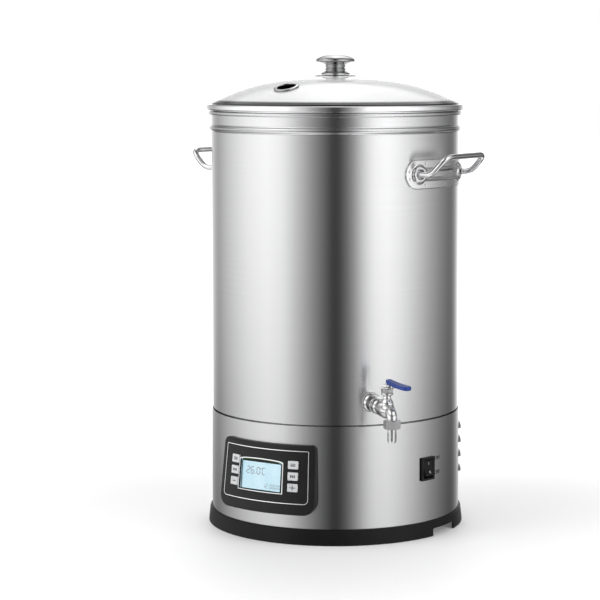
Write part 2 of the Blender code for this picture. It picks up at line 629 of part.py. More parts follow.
def build_base(materials):
    skirt = make_object("housing_skirt",
                        ring(SKIRT_INSIDE, SKIRT_RADIUS, SKIRT_BOTTOM, SKIRT_TOP, ROUND_STEPS),
                        materials["brushed_steel"])
    wall_middle = SKIRT_RADIUS - SKIRT_WALL / 2.0
    join(skirt, louvre_wedges("louvre_hoods", wall_middle, 0.0, 0.0, 0.3, materials["ptfe"]))
    cut(skirt, louvre_wedges("louvre_hollows", SKIRT_INSIDE - 0.002, 0.002, LOUVRE_METAL, 0.6,
                             materials["ptfe"]))
    half = PANEL_CUT_WIDTH / 2.0
    cut(skirt, make_object("panel_opening_cutter",
                           box((-half, -CUT_FAR, PANEL_CUT_BOTTOM), (half, -CUT_NEAR, PANEL_CUT_TOP)),
                           materials["ptfe"]))
    for name, azimuth, level, width, height in (
            ("switch_opening_cutter", SWITCH_AZIMUTH, SWITCH_LEVEL, SWITCH_BODY_WIDTH, SWITCH_BODY_HEIGHT),
            ("inlet_opening_cutter", 180.0, INLET_LEVEL, INLET_BODY_WIDTH, INLET_BODY_HEIGHT)):
        low = (-width / 2.0 - GAP, -CUT_FAR, level - height / 2.0 - GAP)
        high = (width / 2.0 + GAP, -CUT_NEAR, level + height / 2.0 + GAP)
        cut(skirt, make_object(name, box(low, high), materials["ptfe"],
                               rotation=(0.0, 0.0, math.radians(azimuth))))

    inner_foot = RING_FOOT_RADIUS - RING_WALL
    profile = [(RING_FOOT_RADIUS, 0.0), (RING_TOP_RADIUS, RING_TOP), (SPIGOT_RADIUS, RING_TOP),
               (SPIGOT_RADIUS, RING_TOP + RING_SPIGOT_HEIGHT),
               (SPIGOT_RADIUS - 0.0025, RING_TOP + RING_SPIGOT_HEIGHT), (SPIGOT_RADIUS - 0.0025, LEDGE_TOP),
               (RING_LEDGE_RADIUS, LEDGE_TOP), (RING_LEDGE_RADIUS, RING_LEDGE_BOTTOM),
               (inner_foot, RING_LEDGE_BOTTOM), (inner_foot, 0.0)]
    base_ring = make_object("base_ring", turned(profile, ROUND_STEPS), materials["black_plastic"])
    half = NOTCH_WIDTH / 2.0
    notch = [(-half, -0.01), (half, -0.01), (half, NOTCH_HEIGHT - 0.003), (half - 0.003, NOTCH_HEIGHT),
             (-half + 0.003, NOTCH_HEIGHT), (-half, NOTCH_HEIGHT - 0.003)]
    plate = make_object("base_plate",
                        disc(SPIGOT_RADIUS - 0.0025 - GAP * 2, BASE_PLATE_BOTTOM, BASE_PLATE_TOP,
                                           ROUND_STEPS), materials["brushed_steel"])
    for azimuth, side in ((90.0, "right"), (-90.0, "left")):
        cut(base_ring, make_object("notch_cutter_" + side, prism(notch, -CUT_FAR, -inner_foot + 0.012),
                                   materials["ptfe"], rotation=(0.0, 0.0, math.radians(azimuth))))
    for number, azimuth in enumerate(BASE_SCREWS, start=1):
        place = point_on(azimuth, BASE_SCREW_RADIUS, 0.0)
        hole = disc(BASE_SCREW_SHANK + GAP, 0.004, 0.03, 12)
        tool = make_object("base_screw_hole_%d" % number, hole, materials["ptfe"], location=place)
        cut(base_ring, tool)
        cut(plate, tool)
        head_top = RING_LEDGE_BOTTOM - GAP
        screw = [(0.0, head_top - 0.0025), (BASE_SCREW_HEAD - 0.001, head_top - 0.0025),
                 (BASE_SCREW_HEAD, head_top - 0.0012), (BASE_SCREW_HEAD, head_top),
                 (BASE_SCREW_SHANK, head_top),
                 (BASE_SCREW_SHANK, BASE_PLATE_TOP + 0.0030), (0.0, BASE_PLATE_TOP + 0.0030)]
        make_object("base_screw_%d" % number, turned(screw, 12), materials["polished_steel"], location=place)


# ---------------------------------------------------------------- handles

def build_handle(side, azimuth, materials):
    half = PLATE_LENGTH / 2.0
    low = HANDLE_HEIGHT - PLATE_HEIGHT / 2.0
    high = HANDLE_HEIGHT + PLATE_HEIGHT / 2.0
    back = KETTLE_RADIUS + GAP
    outline = rounded_outline((-half, low), (half, high), [PLATE_HEIGHT / 2.0 - 0.0001] * 4, 6)
    boss_angle = math.asin(HANDLE_SPACING / 2.0 / (KETTLE_RADIUS + BOSS_REACH))
    boss_place = boss_angle * SKIRT_RADIUS
    blank = make_object("plate_blank", prism(outline, 0.0, PLATE_METAL), materials["ptfe"])
    channel = box((-boss_place, 0.0005, HANDLE_HEIGHT - RIDGE_HEIGHT / 2.0),
                  (boss_place, RIDGE_REACH, HANDLE_HEIGHT + RIDGE_HEIGHT / 2.0))
    join(blank, make_object("plate_ridge", channel, materials["ptfe"]))
    for place in (-boss_place, boss_place):
        for radius, start, end, use in ((BOSS_RADIUS, 0.0004, BOSS_REACH, join),
                                        (BOSS_HOLE, -0.01, 0.01, cut)):
            tool = disc(radius, start, end)
            bmesh.ops.transform(tool, matrix=Matrix.Rotation(math.radians(-90.0), 4, "X"), verts=tool.verts)
            use(blank, make_object("plate_tool", tool, materials["ptfe"],
                                   location=(place, 0.0, HANDLE_HEIGHT)))
    plate = finish_solid(wrap(bake_modifiers(blank), lambda y, z: back + y))
    make_object("handle_plate_" + side, plate, materials["brushed_steel"],
                rotation=(0.0, 0.0, math.radians(azimuth)))

    leg = HANDLE_SPACING / 2.0
    wall = math.sqrt(KETTLE_RADIUS ** 2 - (leg - HANDLE_ROD) ** 2)
    root = wall + GAP * 2
    grip = root + HANDLE_REACH
    knee = root + HANDLE_STRAIGHT
    top = HANDLE_HEIGHT + HANDLE_RISE
    corners = [(-leg, -root, HANDLE_HEIGHT), (-leg, -knee, HANDLE_HEIGHT), (-leg, -grip, top),
               (leg, -grip, top),
               (leg, -knee, HANDLE_HEIGHT), (leg, -root, HANDLE_HEIGHT)]
    frame = make_empty("handle_frame_" + side, azimuth=azimuth)
    bent_rod("handle_rod_" + side, round_corners(corners, HANDLE_BEND), HANDLE_ROD,
             materials["polished_steel"], parent=frame, resolution=2)


# ---------------------------------------------------------------- lid

def glass_level(radius):
    if radius <= GLASS_FLAT:
        return GLASS_TOP
    return GLASS_TOP - GLASS_CROWN * (radius / GLASS_RADIUS) ** GLASS_CROWN_POWER


def build_lid(materials, lid):
    radii = [0.0, GLASS_FLAT] + [GLASS_RADIUS * share for share in (0.36, 0.54, 0.69, 0.81, 0.91, 1.0)]
    outer = [(r, glass_level(r)) for r in radii]
    inner = [(min(r, GLASS_RADIUS), z - GLASS_THICKNESS) for r, z in outer]
    glass = make_object("lid_glass", turned(inner + outer[::-1], ROUND_STEPS), materials["glass"], lid)

    seat = BAND_SEAT
    wall = GLASS_RADIUS + GAP
    band = [(BAND_RADIUS, RIM_TOP + GAP), (BAND_RADIUS, BAND_TOP - 0.0015), (BAND_RADIUS - 0.0015, BAND_TOP),
            (wall, BAND_TOP), (wall, seat), (BAND_LIP_RADIUS - BAND_METAL, seat),
            (BAND_LIP_RADIUS - BAND_METAL, RIM_TOP - BAND_LIP_DEPTH),
            (BAND_LIP_RADIUS, RIM_TOP - BAND_LIP_DEPTH),
            (BAND_LIP_RADIUS, RIM_TOP + GAP)]
    make_object("lid_band", turned(band, ROUND_STEPS), materials["polished_steel"], lid)

    slope = math.atan(GLASS_CROWN * GLASS_CROWN_POWER / GLASS_RADIUS
                      * (EYELET_OFFSET / GLASS_RADIUS) ** (GLASS_CROWN_POWER - 1.0))
    place = (0.0, -EYELET_OFFSET, glass_level(EYELET_OFFSET))
    tilt = (slope, 0.0, 0.0)
    hole = disc(EYELET_TUBE + GAP, -0.02, 0.02)
    cut(glass, make_object("eyelet_hole_cutter", hole, materials["ptfe"], lid, place, tilt))
    under = -GLASS_THICKNESS - EYELET_CROWN_ROOM
    flange = EYELET_FLANGE_THICKNESS
    eyelet = [(EYELET_BORE, under - flange), (EYELET_FLANGE - 0.0005, under - flange),
              (EYELET_FLANGE - 0.0005, under), (EYELET_TUBE, under), (EYELET_TUBE, GAP * 2),
              (EYELET_FLANGE, GAP * 2),
              (EYELET_FLANGE, GAP * 2 + flange * 0.6), (EYELET_FLANGE - 0.001, GAP * 2 + flange),
              (EYELET_BORE, GAP * 2 + flange)]
    make_object("lid_eyelet", turned(eyelet), materials["polished_steel"], lid, place, tilt)

    screw_hole = disc(KNOB_SCREW_RADIUS + GAP, GLASS_TOP - 0.02, GLASS_TOP + 0.01, 12)
    cut(glass, make_object("knob_hole_cutter", screw_hole, materials["ptfe"], lid))
    flange_low = GLASS_TOP + GAP
    knob_low = flange_low + KNOB_FLANGE_THICKNESS + GAP
    knob_top = knob_low + KNOB_HEIGHT
    bore = KNOB_SCREW_RADIUS + GAP
    make_object("knob_flange", ring(bore, KNOB_FLANGE_RADIUS, flange_low, flange_low + KNOB_FLANGE_THICKNESS,
                                    24),
                materials["polished_steel"], lid)
    neck = KNOB_NECK_RADIUS
    cap = KNOB_CAP_RADIUS
    knob = [(bore, knob_low), (KNOB_FOOT_RADIUS, knob_low), (KNOB_FOOT_RADIUS, knob_low + 0.0020),
            (neck + 0.0010, knob_low + 0.0042), (neck - 0.0010, knob_low + 0.0060),
            (neck + 0.0006, knob_low + 0.0080), (neck - 0.0008, knob_low + 0.0098),
            (neck + 0.0008, knob_low + 0.0116), (neck + 0.0030, knob_low + 0.0135),
            (cap - 0.0050, knob_low + 0.0156),
            (cap - 0.0010, knob_low + 0.0172), (cap, knob_low + 0.0187), (cap - 0.0014, knob_low + 0.0210),
            (cap * 0.72, knob_top - 0.0026), (cap * 0.36, knob_top - 0.0005), (0.0, knob_top),
            (0.0, knob_low + 0.0150), (bore, knob_low + 0.0150)]
    make_object("lid_knob", turned(knob, 24), materials["polished_steel"], lid)
    under_glass = GLASS_TOP - GLASS_THICKNESS - GAP
    seal_low = under_glass - KNOB_SEAL_THICKNESS
    make_object("knob_seal", ring(bore, KNOB_SEAL_RADIUS, seal_low, under_glass), materials["silicone"], lid)
    head_top = seal_low - GAP
    screw = [(0.0, head_top - 0.003), (KNOB_SCREW_HEAD - 0.002, head_top - 0.003),
             (KNOB_SCREW_HEAD, head_top - 0.0012),
             (KNOB_SCREW_HEAD, head_top), (KNOB_SCREW_RADIUS, head_top),
             (KNOB_SCREW_RADIUS, knob_low + 0.0140),
             (0.0, knob_low + 0.0140)]
    make_object("knob_screw", turned(screw), materials["polished_steel"], lid)


# ---------------------------------------------------------------- mash basket

def build_basket(materials, basket):
    inside = BASKET_RADIUS - BASKET_WALL
    low = BASKET_BOTTOM
    rim = BASKET_RADIUS + BASKET_RIM_REACH
    profile = [(BASKET_RADIUS - BASKET_LEDGE, low), (BASKET_RADIUS, low), (BASKET_RADIUS, BASKET_TOP - 0.004),
               (rim, BASKET_TOP - 0.004), (rim, BASKET_TOP), (inside, BASKET_TOP),
               (inside, low + BASKET_WALL),
               (BASKET_RADIUS - BASKET_LEDGE, low + BASKET_WALL)]
    shell = make_object("basket_shell", turned(profile, ROUND_STEPS), materials["brushed_steel"], basket)
    for azimuth in BASKET_FEET:
        foot = disc(BASKET_FOOT_RADIUS, KETTLE_FLOOR + GAP, low + BASKET_WALL / 2.0, 12)
        join(shell, make_object("basket_foot_guide", foot, materials["ptfe"], basket,
                                point_on(azimuth, BASKET_FOOT_CIRCLE, 0.0)))
    pivot_hole = disc(BAIL_ROD + GAP, -CUT_FAR, CUT_FAR, 16)
    bmesh.ops.rotate(pivot_hole, verts=pivot_hole.verts, cent=(0, 0, 0),
                     matrix=Matrix.Rotation(math.pi / 2, 3, "Y"))
    cut(shell, make_object("bail_hole_cutter", pivot_hole, materials["ptfe"], basket,
                           (0.0, 0.0, BAIL_HEIGHT)))

    screen_low = low + BASKET_WALL + GAP
    edge = inside - GAP * 2
    screen = make_object("basket_screen", disc(edge, screen_low, screen_low + SCREEN_THICKNESS, 48),
                         materials["brushed_steel"], basket)
    holes = bmesh.new()
    row_step = SCREEN_PITCH * math.sqrt(3.0) / 2.0
    reach = edge - SCREEN_PITCH / 2.0
    rows = int(reach / row_step)
    for row in range(-rows, rows + 1):
        for column in range(-rows - 1, rows + 2):
            x = (column + (row % 2) / 2.0) * SCREEN_PITCH
            y = row * row_step
            if math.hypot(x, y) < reach:
                bmesh.ops.create_cone(holes, cap_ends=True, segments=6, radius1=SCREEN_HOLE,
                                      radius2=SCREEN_HOLE,
                                      depth=0.02, matrix=Matrix.Translation((x, y, screen_low)))
    cut(screen, make_object("screen_hole_cutter", holes, materials["ptfe"], basket))

    pivot = make_empty("basket_bail_axis", (0.0, 0.0, BAIL_HEIGHT), parent=basket)
    bow = [Vector((BAIL_RING * math.cos(a), -BAIL_RING * math.sin(a), 0.0))
           for a in (math.pi * i / 14 for i in range(15))]
    corners = round_corners([(BAIL_END, 0, 0), (BAIL_RING, 0, 0)] + bow[1:-1] + [(-BAIL_RING, 0, 0),
                                                                                 (-BAIL_END, 0, 0)],
                            0.004, 2)
    bent_rod("basket_bail", corners, BAIL_ROD, materials["polished_steel"], parent=pivot, resolution=1)


# ---------------------------------------------------------------- control panel

def face_radius(level):
    share = (PANEL_TOP - level) / (PANEL_TOP - PANEL_BOTTOM)
    return SKIRT_RADIUS + PANEL_TOP_REACH + (PANEL_BOTTOM_REACH - PANEL_TOP_REACH) * share


def panel_outline(inset):
    half = math.radians(PANEL_HALF_ANGLE) * SKIRT_RADIUS - inset
    corners = [PANEL_BOTTOM_CORNER - inset] * 2 + [PANEL_TOP_CORNER - inset] * 2
    return rounded_outline((-half, PANEL_BOTTOM + inset), (half, PANEL_TOP - inset), corners)


def display_outline(grow):
    """The display opening's outline about the middle of its foot, with an arched top."""
    half = DISPLAY_WIDTH / 2.0 + grow
    top = DISPLAY_HEIGHT + grow
    arch = [(half * math.cos(math.pi * i / 8),
             top + DISPLAY_ARCH * math.sin(math.pi * i / 8)) for i in range(9)]
    return [(-half, -grow), (half, -grow)] + arch


def ring_on_face(name, outer, inner, proud, material, azimuth=0.0):
    """A flat ring between two outlines, bent onto the panel's leaning face."""
    shrink = SKIRT_RADIUS / face_radius((PANEL_TOP + PANEL_BOTTOM) / 2.0)
    outer, inner = ([(x * shrink, z) for x, z in outline] for outline in (outer, inner))
    blank = make_object("ring_blank", prism(outer, 0.0, 1.0), material)
    cut(blank, make_object("ring_tool", prism(inner, -1.0, 2.0), material))
    bm = wrap(bake_modifiers(blank), lambda y, z: face_radius(z) + GAP + proud * y)
    return make_object(name, finish_solid(bm), material, rotation=(0.0, 0.0, math.radians(azimuth)))


def build_panel(materials):
    black = materials["black_plastic"]
    back = SKIRT_RADIUS + GAP
    bezel_mesh = wrap(prism(panel_outline(0.0), 0.0, 1.0), lambda y, z: back if y < 0.5 else face_radius(z))
    bezel = make_object("panel_bezel", finish_solid(bezel_mesh), black)
    hollow = wrap(prism(panel_outline(PANEL_WALL), 0.0, 1.0),
                  lambda y, z: back - 0.003 if y < 0.5 else face_radius(z) - PANEL_FACE, 0.45)
    cut(bezel, make_object("panel_hollow", finish_solid(hollow), materials["ptfe"]))

    lean = (-PANEL_LEAN, 0.0, math.radians(DISPLAY_AZIMUTH))
    display_place = point_on(DISPLAY_AZIMUTH, face_radius(DISPLAY_BOTTOM), DISPLAY_BOTTOM)
    cut(bezel, make_object("display_cutter", prism(display_outline(0.0), -0.02, 0.02), materials["ptfe"],
                           location=display_place, rotation=lean))
    shifted = [[(x, z + DISPLAY_BOTTOM) for x, z in display_outline(grow)] for grow in (DISPLAY_FRAME, 0.0)]
    ring_on_face("display_frame", shifted[0], shifted[1], DISPLAY_FRAME_PROUD, materials["polished_steel"],
                 DISPLAY_AZIMUTH)

    half = DISPLAY_WIDTH / 2.0 - GAP * 2
    window = box((-half, WINDOW_SINK, GAP * 2), (half, WINDOW_SINK + WINDOW_THICKNESS, DISPLAY_HEIGHT - GAP))
    make_object("display_window", window, materials["glass"], location=display_place, rotation=lean)
    behind = WINDOW_SINK + WINDOW_THICKNESS + GAP
    half -= 0.001
    module = box((-half, behind, 0.002), (half, behind + MODULE_THICKNESS, DISPLAY_HEIGHT - 0.001))
    make_object("display_module", module, materials["display"], location=display_place, rotation=lean)

    half = BOARD_WIDTH / 2.0
    board = box((-half, -BOARD_FRONT, BOARD_BOTTOM), (half, -BOARD_DISTANCE, BOARD_BOTTOM + BOARD_HEIGHT))
    make_object("control_board", board, materials["circuit_board"])

    for side, sign in (("left", -1.0), ("right", 1.0)):
        for name, level in zip(BUTTON_NAMES, BUTTON_LEVELS):
            build_button(side, name, sign * BUTTON_AZIMUTH, level, bezel, materials)


def build_button(side, name, azimuth, level, bezel, materials):
    """One button: a cap through the face, a lip that keeps it in, and a stem towards the board."""
    radius = face_radius(level)
    place = point_on(azimuth, radius, level)
    turn = (-PANEL_LEAN, 0.0, math.radians(azimuth))
    half_w = BUTTON_WIDTH / 2.0
    half_h = BUTTON_HEIGHT / 2.0
    cut(bezel, make_object("button_hole_%s_%s" % (side, name), box((-half_w - GAP, -0.01, -half_h - GAP),
                                                                   (half_w + GAP, 0.006, half_h + GAP)),
                           materials["ptfe"], location=place, rotation=turn))
    lip_front = PANEL_FACE + GAP * 2
    lip_back = lip_front + BUTTON_LIP_THICKNESS
    stem_end = radius * math.cos(math.radians(azimuth)) - BOARD_FRONT - BUTTON_TRAVEL - 0.0022
    cap = make_object("button_%s_%s" % (side, name),
                      box((-half_w, -BUTTON_PROUD, -half_h), (half_w, lip_front + 0.0002, half_h)),
                      materials["light_plastic"], location=place, rotation=turn)
    lip = box((-half_w - BUTTON_LIP, lip_front, -half_h - BUTTON_LIP),
              (half_w + BUTTON_LIP, lip_back, half_h + BUTTON_LIP))
    join(cap, make_object("button_lip_guide", lip, materials["ptfe"], location=place, rotation=turn))
    stem = box((-BUTTON_STEM, lip_back - 0.0003, -BUTTON_STEM),
               (BUTTON_STEM, max(stem_end, lip_back + 0.001), BUTTON_STEM))
    join(cap, make_object("button_stem_guide", stem, materials["ptfe"], location=place, rotation=turn))


# ---------------------------------------------------------------- switch and mains inlet

def build_switch(materials):
    frame = make_empty("switch_frame", point_on(SWITCH_AZIMUTH, 0.0, SWITCH_LEVEL), SWITCH_AZIMUTH)
    back = SKIRT_RADIUS + GAP
    face = back + SWITCH_FLANGE
    flange = box((-SWITCH_WIDTH / 2, -face, -SWITCH_HEIGHT / 2), (SWITCH_WIDTH / 2, -back, SWITCH_HEIGHT / 2))
    housing = make_object("switch_housing", flange, materials["black_plastic"], frame)
    body = box((-SWITCH_BODY_WIDTH / 2, -back - 0.001, -SWITCH_BODY_HEIGHT / 2),
               (SWITCH_BODY_WIDTH / 2, -back + SWITCH_BODY_DEPTH, SWITCH_BODY_HEIGHT / 2))
    join(housing, make_object("switch_body_guide", body, materials["ptfe"], frame))
    well = box((-SWITCH_WELL_WIDTH / 2, -face - 0.001, -SWITCH_WELL_HEIGHT / 2),
               (SWITCH_WELL_WIDTH / 2, -face + SWITCH_WELL_DEPTH, SWITCH_WELL_HEIGHT / 2))
    cut(housing, make_object("switch_well_cutter", well, materials["ptfe"], frame))

    pivot_distance = face - ROCKER_VALLEY + GAP
    sideways = Matrix.Rotation(math.radians(90.0), 4, "Y")
    room = disc(ROCKER_PIVOT_RADIUS + GAP, -ROCKER_PIVOT_LENGTH / 2 - GAP, ROCKER_PIVOT_LENGTH / 2 + GAP, 12)
    bmesh.ops.transform(room, matrix=sideways, verts=room.verts)
    cut(housing, make_object("rocker_pivot_cutter", room, materials["ptfe"], frame,
                             (0.0, -pivot_distance, 0.0)))

    pivot = make_empty("rocker_pivot", (0.0, -pivot_distance, 0.0), parent=frame)
    half = ROCKER_HALF_LENGTH
    end = ROCKER_VALLEY + half * math.tan(math.radians(ROCKER_SWING / 2.0))
    side_view = [(-0.004, -0.005), (0.0, -0.0085), (end - 0.0012, -half), (end, -half + 0.0012),
                 (ROCKER_VALLEY, 0.0),
                 (end, half - 0.0012), (end - 0.0012, half), (0.0, 0.0085), (-0.004, 0.005)]
    blank = prism([(-out, up) for out, up in side_view], -ROCKER_WIDTH / 2, ROCKER_WIDTH / 2)
    bmesh.ops.rotate(blank, verts=blank.verts, cent=(0, 0, 0),
                     matrix=Matrix.Rotation(math.radians(90.0), 3, "Z"))
    rocker = make_object("switch_rocker", blank, materials["black_plastic"], pivot,
                         rotation=(math.radians(-ROCKER_SWING / 2.0), 0.0, 0.0))
    pin = disc(ROCKER_PIVOT_RADIUS, -ROCKER_PIVOT_LENGTH / 2, ROCKER_PIVOT_LENGTH / 2, 12)
    bmesh.ops.transform(pin, matrix=sideways, verts=pin.verts)
    join(rocker, make_object("rocker_pin_guide", pin, materials["ptfe"], pivot))


def build_inlet(materials):
    frame = make_empty("inlet_frame", (0.0, 0.0, INLET_LEVEL), 180.0)
    back = SKIRT_RADIUS + GAP
    face = back + INLET_FLANGE
    flange = box((-INLET_WIDTH / 2, -face, -INLET_HEIGHT / 2), (INLET_WIDTH / 2, -back, INLET_HEIGHT / 2))
    inlet = make_object("mains_inlet", flange, materials["black_plastic"], frame)
    body = box((-INLET_BODY_WIDTH / 2, -back - 0.001, -INLET_BODY_HEIGHT / 2),
               (INLET_BODY_WIDTH / 2, -back + INLET_BODY_DEPTH, INLET_BODY_HEIGHT / 2))
    join(inlet, make_object("inlet_body_guide", body, materials["ptfe"], frame))
    floor = -face + INLET_WELL_DEPTH
    well = box((-INLET_WELL_WIDTH / 2, -face - 0.001, -INLET_WELL_HEIGHT / 2),
               (INLET_WELL_WIDTH / 2, floor, INLET_WELL_HEIGHT / 2))
    cut(inlet, make_object("inlet_well_cutter", well, materials["ptfe"], frame))
    for x, z in ((0.0, 0.0035), (-0.0070, -0.0020), (0.0070, -0.0020)):
        blade = box((x - 0.001, floor - 0.012, z - 0.0025), (x + 0.001, floor + 0.001, z + 0.0025))
        join(inlet, make_object("inlet_blade_guide", blade, materials["ptfe"], frame))


# ---------------------------------------------------------------- tap

def build_tap(materials):
    steel = materials["polished_steel"]
    frame = make_empty("tap_frame", azimuth=TAP_AZIMUTH)
    seal_start = KETTLE_RADIUS + GAP
    flange_start = seal_start + TAP_SEAL_THICKNESS + GAP
    inner_face = math.sqrt(KETTLE_INSIDE ** 2 - TAP_SEAL_RADIUS ** 2) - FACET_DIP - GAP
    thread = TAP_SHANK_THREAD
    make_object("tap_outer_seal", outward(ring(thread + GAP, TAP_SEAL_RADIUS, seal_start, seal_start
                                               + TAP_SEAL_THICKNESS), TAP_LEVEL), materials["silicone"],
                                               frame)
    make_object("tap_inner_seal", outward(ring(thread + GAP, TAP_SEAL_RADIUS, inner_face - TAP_SEAL_THICKNESS,
                                               inner_face), TAP_LEVEL), materials["silicone"], frame)
    nut_end = inner_face - TAP_SEAL_THICKNESS - GAP
    back_nut = hexagon(BACK_NUT_FLATS, thread + GAP, nut_end - BACK_NUT_THICKNESS, nut_end)
    make_object("tap_back_nut", outward(back_nut, TAP_LEVEL), materials["brushed_steel"], frame)

    ball_seat = STEM_DISTANCE - math.sqrt(BALL_RADIUS ** 2 - TAP_BORE ** 2) - GAP
    nose_end = ball_seat - SEAT_THICKNESS - GAP
    chamber = BALL_RADIUS + CHAMBER_ROOM
    shank = [(TAP_BORE, TAP_SHANK_END), (thread, TAP_SHANK_END), (thread, flange_start),
             (TAP_FLANGE, flange_start),
             (TAP_FLANGE, flange_start + 0.0052), (thread + 0.0004, flange_start + 0.0060),
             (thread + 0.0004, flange_start + 0.0100), (TAP_COLLAR - 0.0012, flange_start + 0.0108),
             (TAP_COLLAR, flange_start + 0.0125), (TAP_COLLAR, TAP_BODY_START - GAP * 3),
             (TAP_COLLAR - 0.0010, TAP_BODY_START - GAP), (chamber - GAP, TAP_BODY_START - GAP),
             (chamber - GAP, nose_end), (TAP_BORE, nose_end)]
    make_object("tap_shank", outward(turned(shank), TAP_LEVEL), steel, frame)
    for name, start in (("tap_inner_seat", ball_seat - SEAT_THICKNESS),
                        ("tap_outer_seat", 2.0 * STEM_DISTANCE - ball_seat)):
        seat = ring(TAP_BORE, chamber - GAP, start, start + SEAT_THICKNESS)
        make_object(name, outward(seat, TAP_LEVEL), materials["ptfe"], frame)

    start = TAP_BODY_START
    nose = SPOUT_DISTANCE - SPOUT_RADIUS * 0.35
    nut_side = SPOUT_DISTANCE - HOSE_NUT_FLATS / 2.0 - GAP
    nose_radius = TAP_LEVEL - HOSE_NUT_TOP - GAP
    body_profile = [(0.0, start), (TAP_COLLAR - 0.0020, start), (TAP_BODY, start + 0.0030),
                    (TAP_BODY, start + 0.0100),
                    (TAP_BODY - 0.0014, start + 0.0125), (TAP_BODY - 0.0014, start + 0.0200),
                    (TAP_BODY, start + 0.0230), (TAP_BODY, nut_side - 0.0030), (nose_radius, nut_side),
                    (nose_radius - 0.0005, nose - 0.0040), (nose_radius * 0.6, nose - 0.0008), (0.0, nose)]
    body = make_object("tap_body", outward(turned(body_profile, phase=2.0), TAP_LEVEL), steel, frame)
    spout_place = (0.0, -SPOUT_DISTANCE, 0.0)
    stem_place = (0.0, -STEM_DISTANCE, 0.0)
    spout = turned([(0.0, SPOUT_END), (SPOUT_RADIUS, SPOUT_END), (SPOUT_RADIUS, SPOUT_TOP - 0.004),
                    (SPOUT_RADIUS * 0.8, SPOUT_TOP - 0.0015), (SPOUT_RADIUS * 0.4, SPOUT_TOP),
                    (0.0, SPOUT_TOP)],
                   phase=3.0)
    join(body, make_object("spout_guide", spout, steel, frame, spout_place))
    join(body, make_object("neck_guide", disc(NECK_RADIUS, TAP_LEVEL + 0.0021, NECK_TOP, phase=5.0), steel,
                           frame, stem_place))
    back_wall = 2.0 * STEM_DISTANCE - ball_seat + SEAT_THICKNESS + GAP
    cut(body, make_object("chamber_cutter", outward(disc(chamber, start - 0.01, back_wall), TAP_LEVEL), steel,
                          frame))
    cut(body, make_object("bore_cutter",
                          outward(disc(TAP_BORE, back_wall - 0.001, SPOUT_DISTANCE + 0.0004, phase=7.0),
                                  TAP_LEVEL),
                          steel, frame))
    cut(body, make_object("spout_bore_cutter",
                          disc(TAP_BORE - 0.0003, SPOUT_END - 0.01, TAP_LEVEL + 0.0011, phase=9.0), steel,
                          frame, spout_place))
    cut(body, make_object("stem_bore_cutter",
                          disc(STEM_RADIUS + GAP, TAP_LEVEL + 0.0013, NECK_TOP + 0.01, phase=5.0), steel,
                          frame,
                          stem_place))
    packing = hexagon(PACKING_NUT_FLATS, STEM_RADIUS + GAP, NECK_TOP + GAP,
                      NECK_TOP + GAP + PACKING_NUT_THICKNESS)
    make_object("tap_packing_nut", packing, steel, frame, stem_place)

    hose_nut = hexagon(HOSE_NUT_FLATS, SPOUT_RADIUS + GAP, HOSE_NUT_BOTTOM, HOSE_NUT_TOP)
    nut = make_object("hose_nut", hose_nut, steel, frame, spout_place)
    web_top = SPOUT_END - GAP * 2 - 0.0025
    web = ring(BARB_RADIUS + GAP, SPOUT_RADIUS + 0.0010, HOSE_NUT_BOTTOM + 0.0002, web_top)
    join(nut, make_object("hose_nut_web_guide", web, steel, frame, spout_place))
    collar_low = web_top + GAP
    collar_top = SPOUT_END - GAP
    barb = [(BARB_BORE, BARB_END), (BARB_RADIUS - 0.0010, BARB_END)]
    pitch = 0.0046
    level = BARB_END + 0.0030
    while level + pitch < HOSE_NUT_BOTTOM:
        barb += [(BARB_RADIUS + BARB_RIDGE, level), (BARB_RADIUS, level + 0.0004)]
        level += pitch
    barb += [(BARB_RADIUS, collar_low), (SPOUT_RADIUS, collar_low), (SPOUT_RADIUS, collar_top),
             (BARB_BORE, collar_top)]
    make_object("hose_barb", turned(barb), steel, frame, spout_place)
    build_valve(materials, frame)


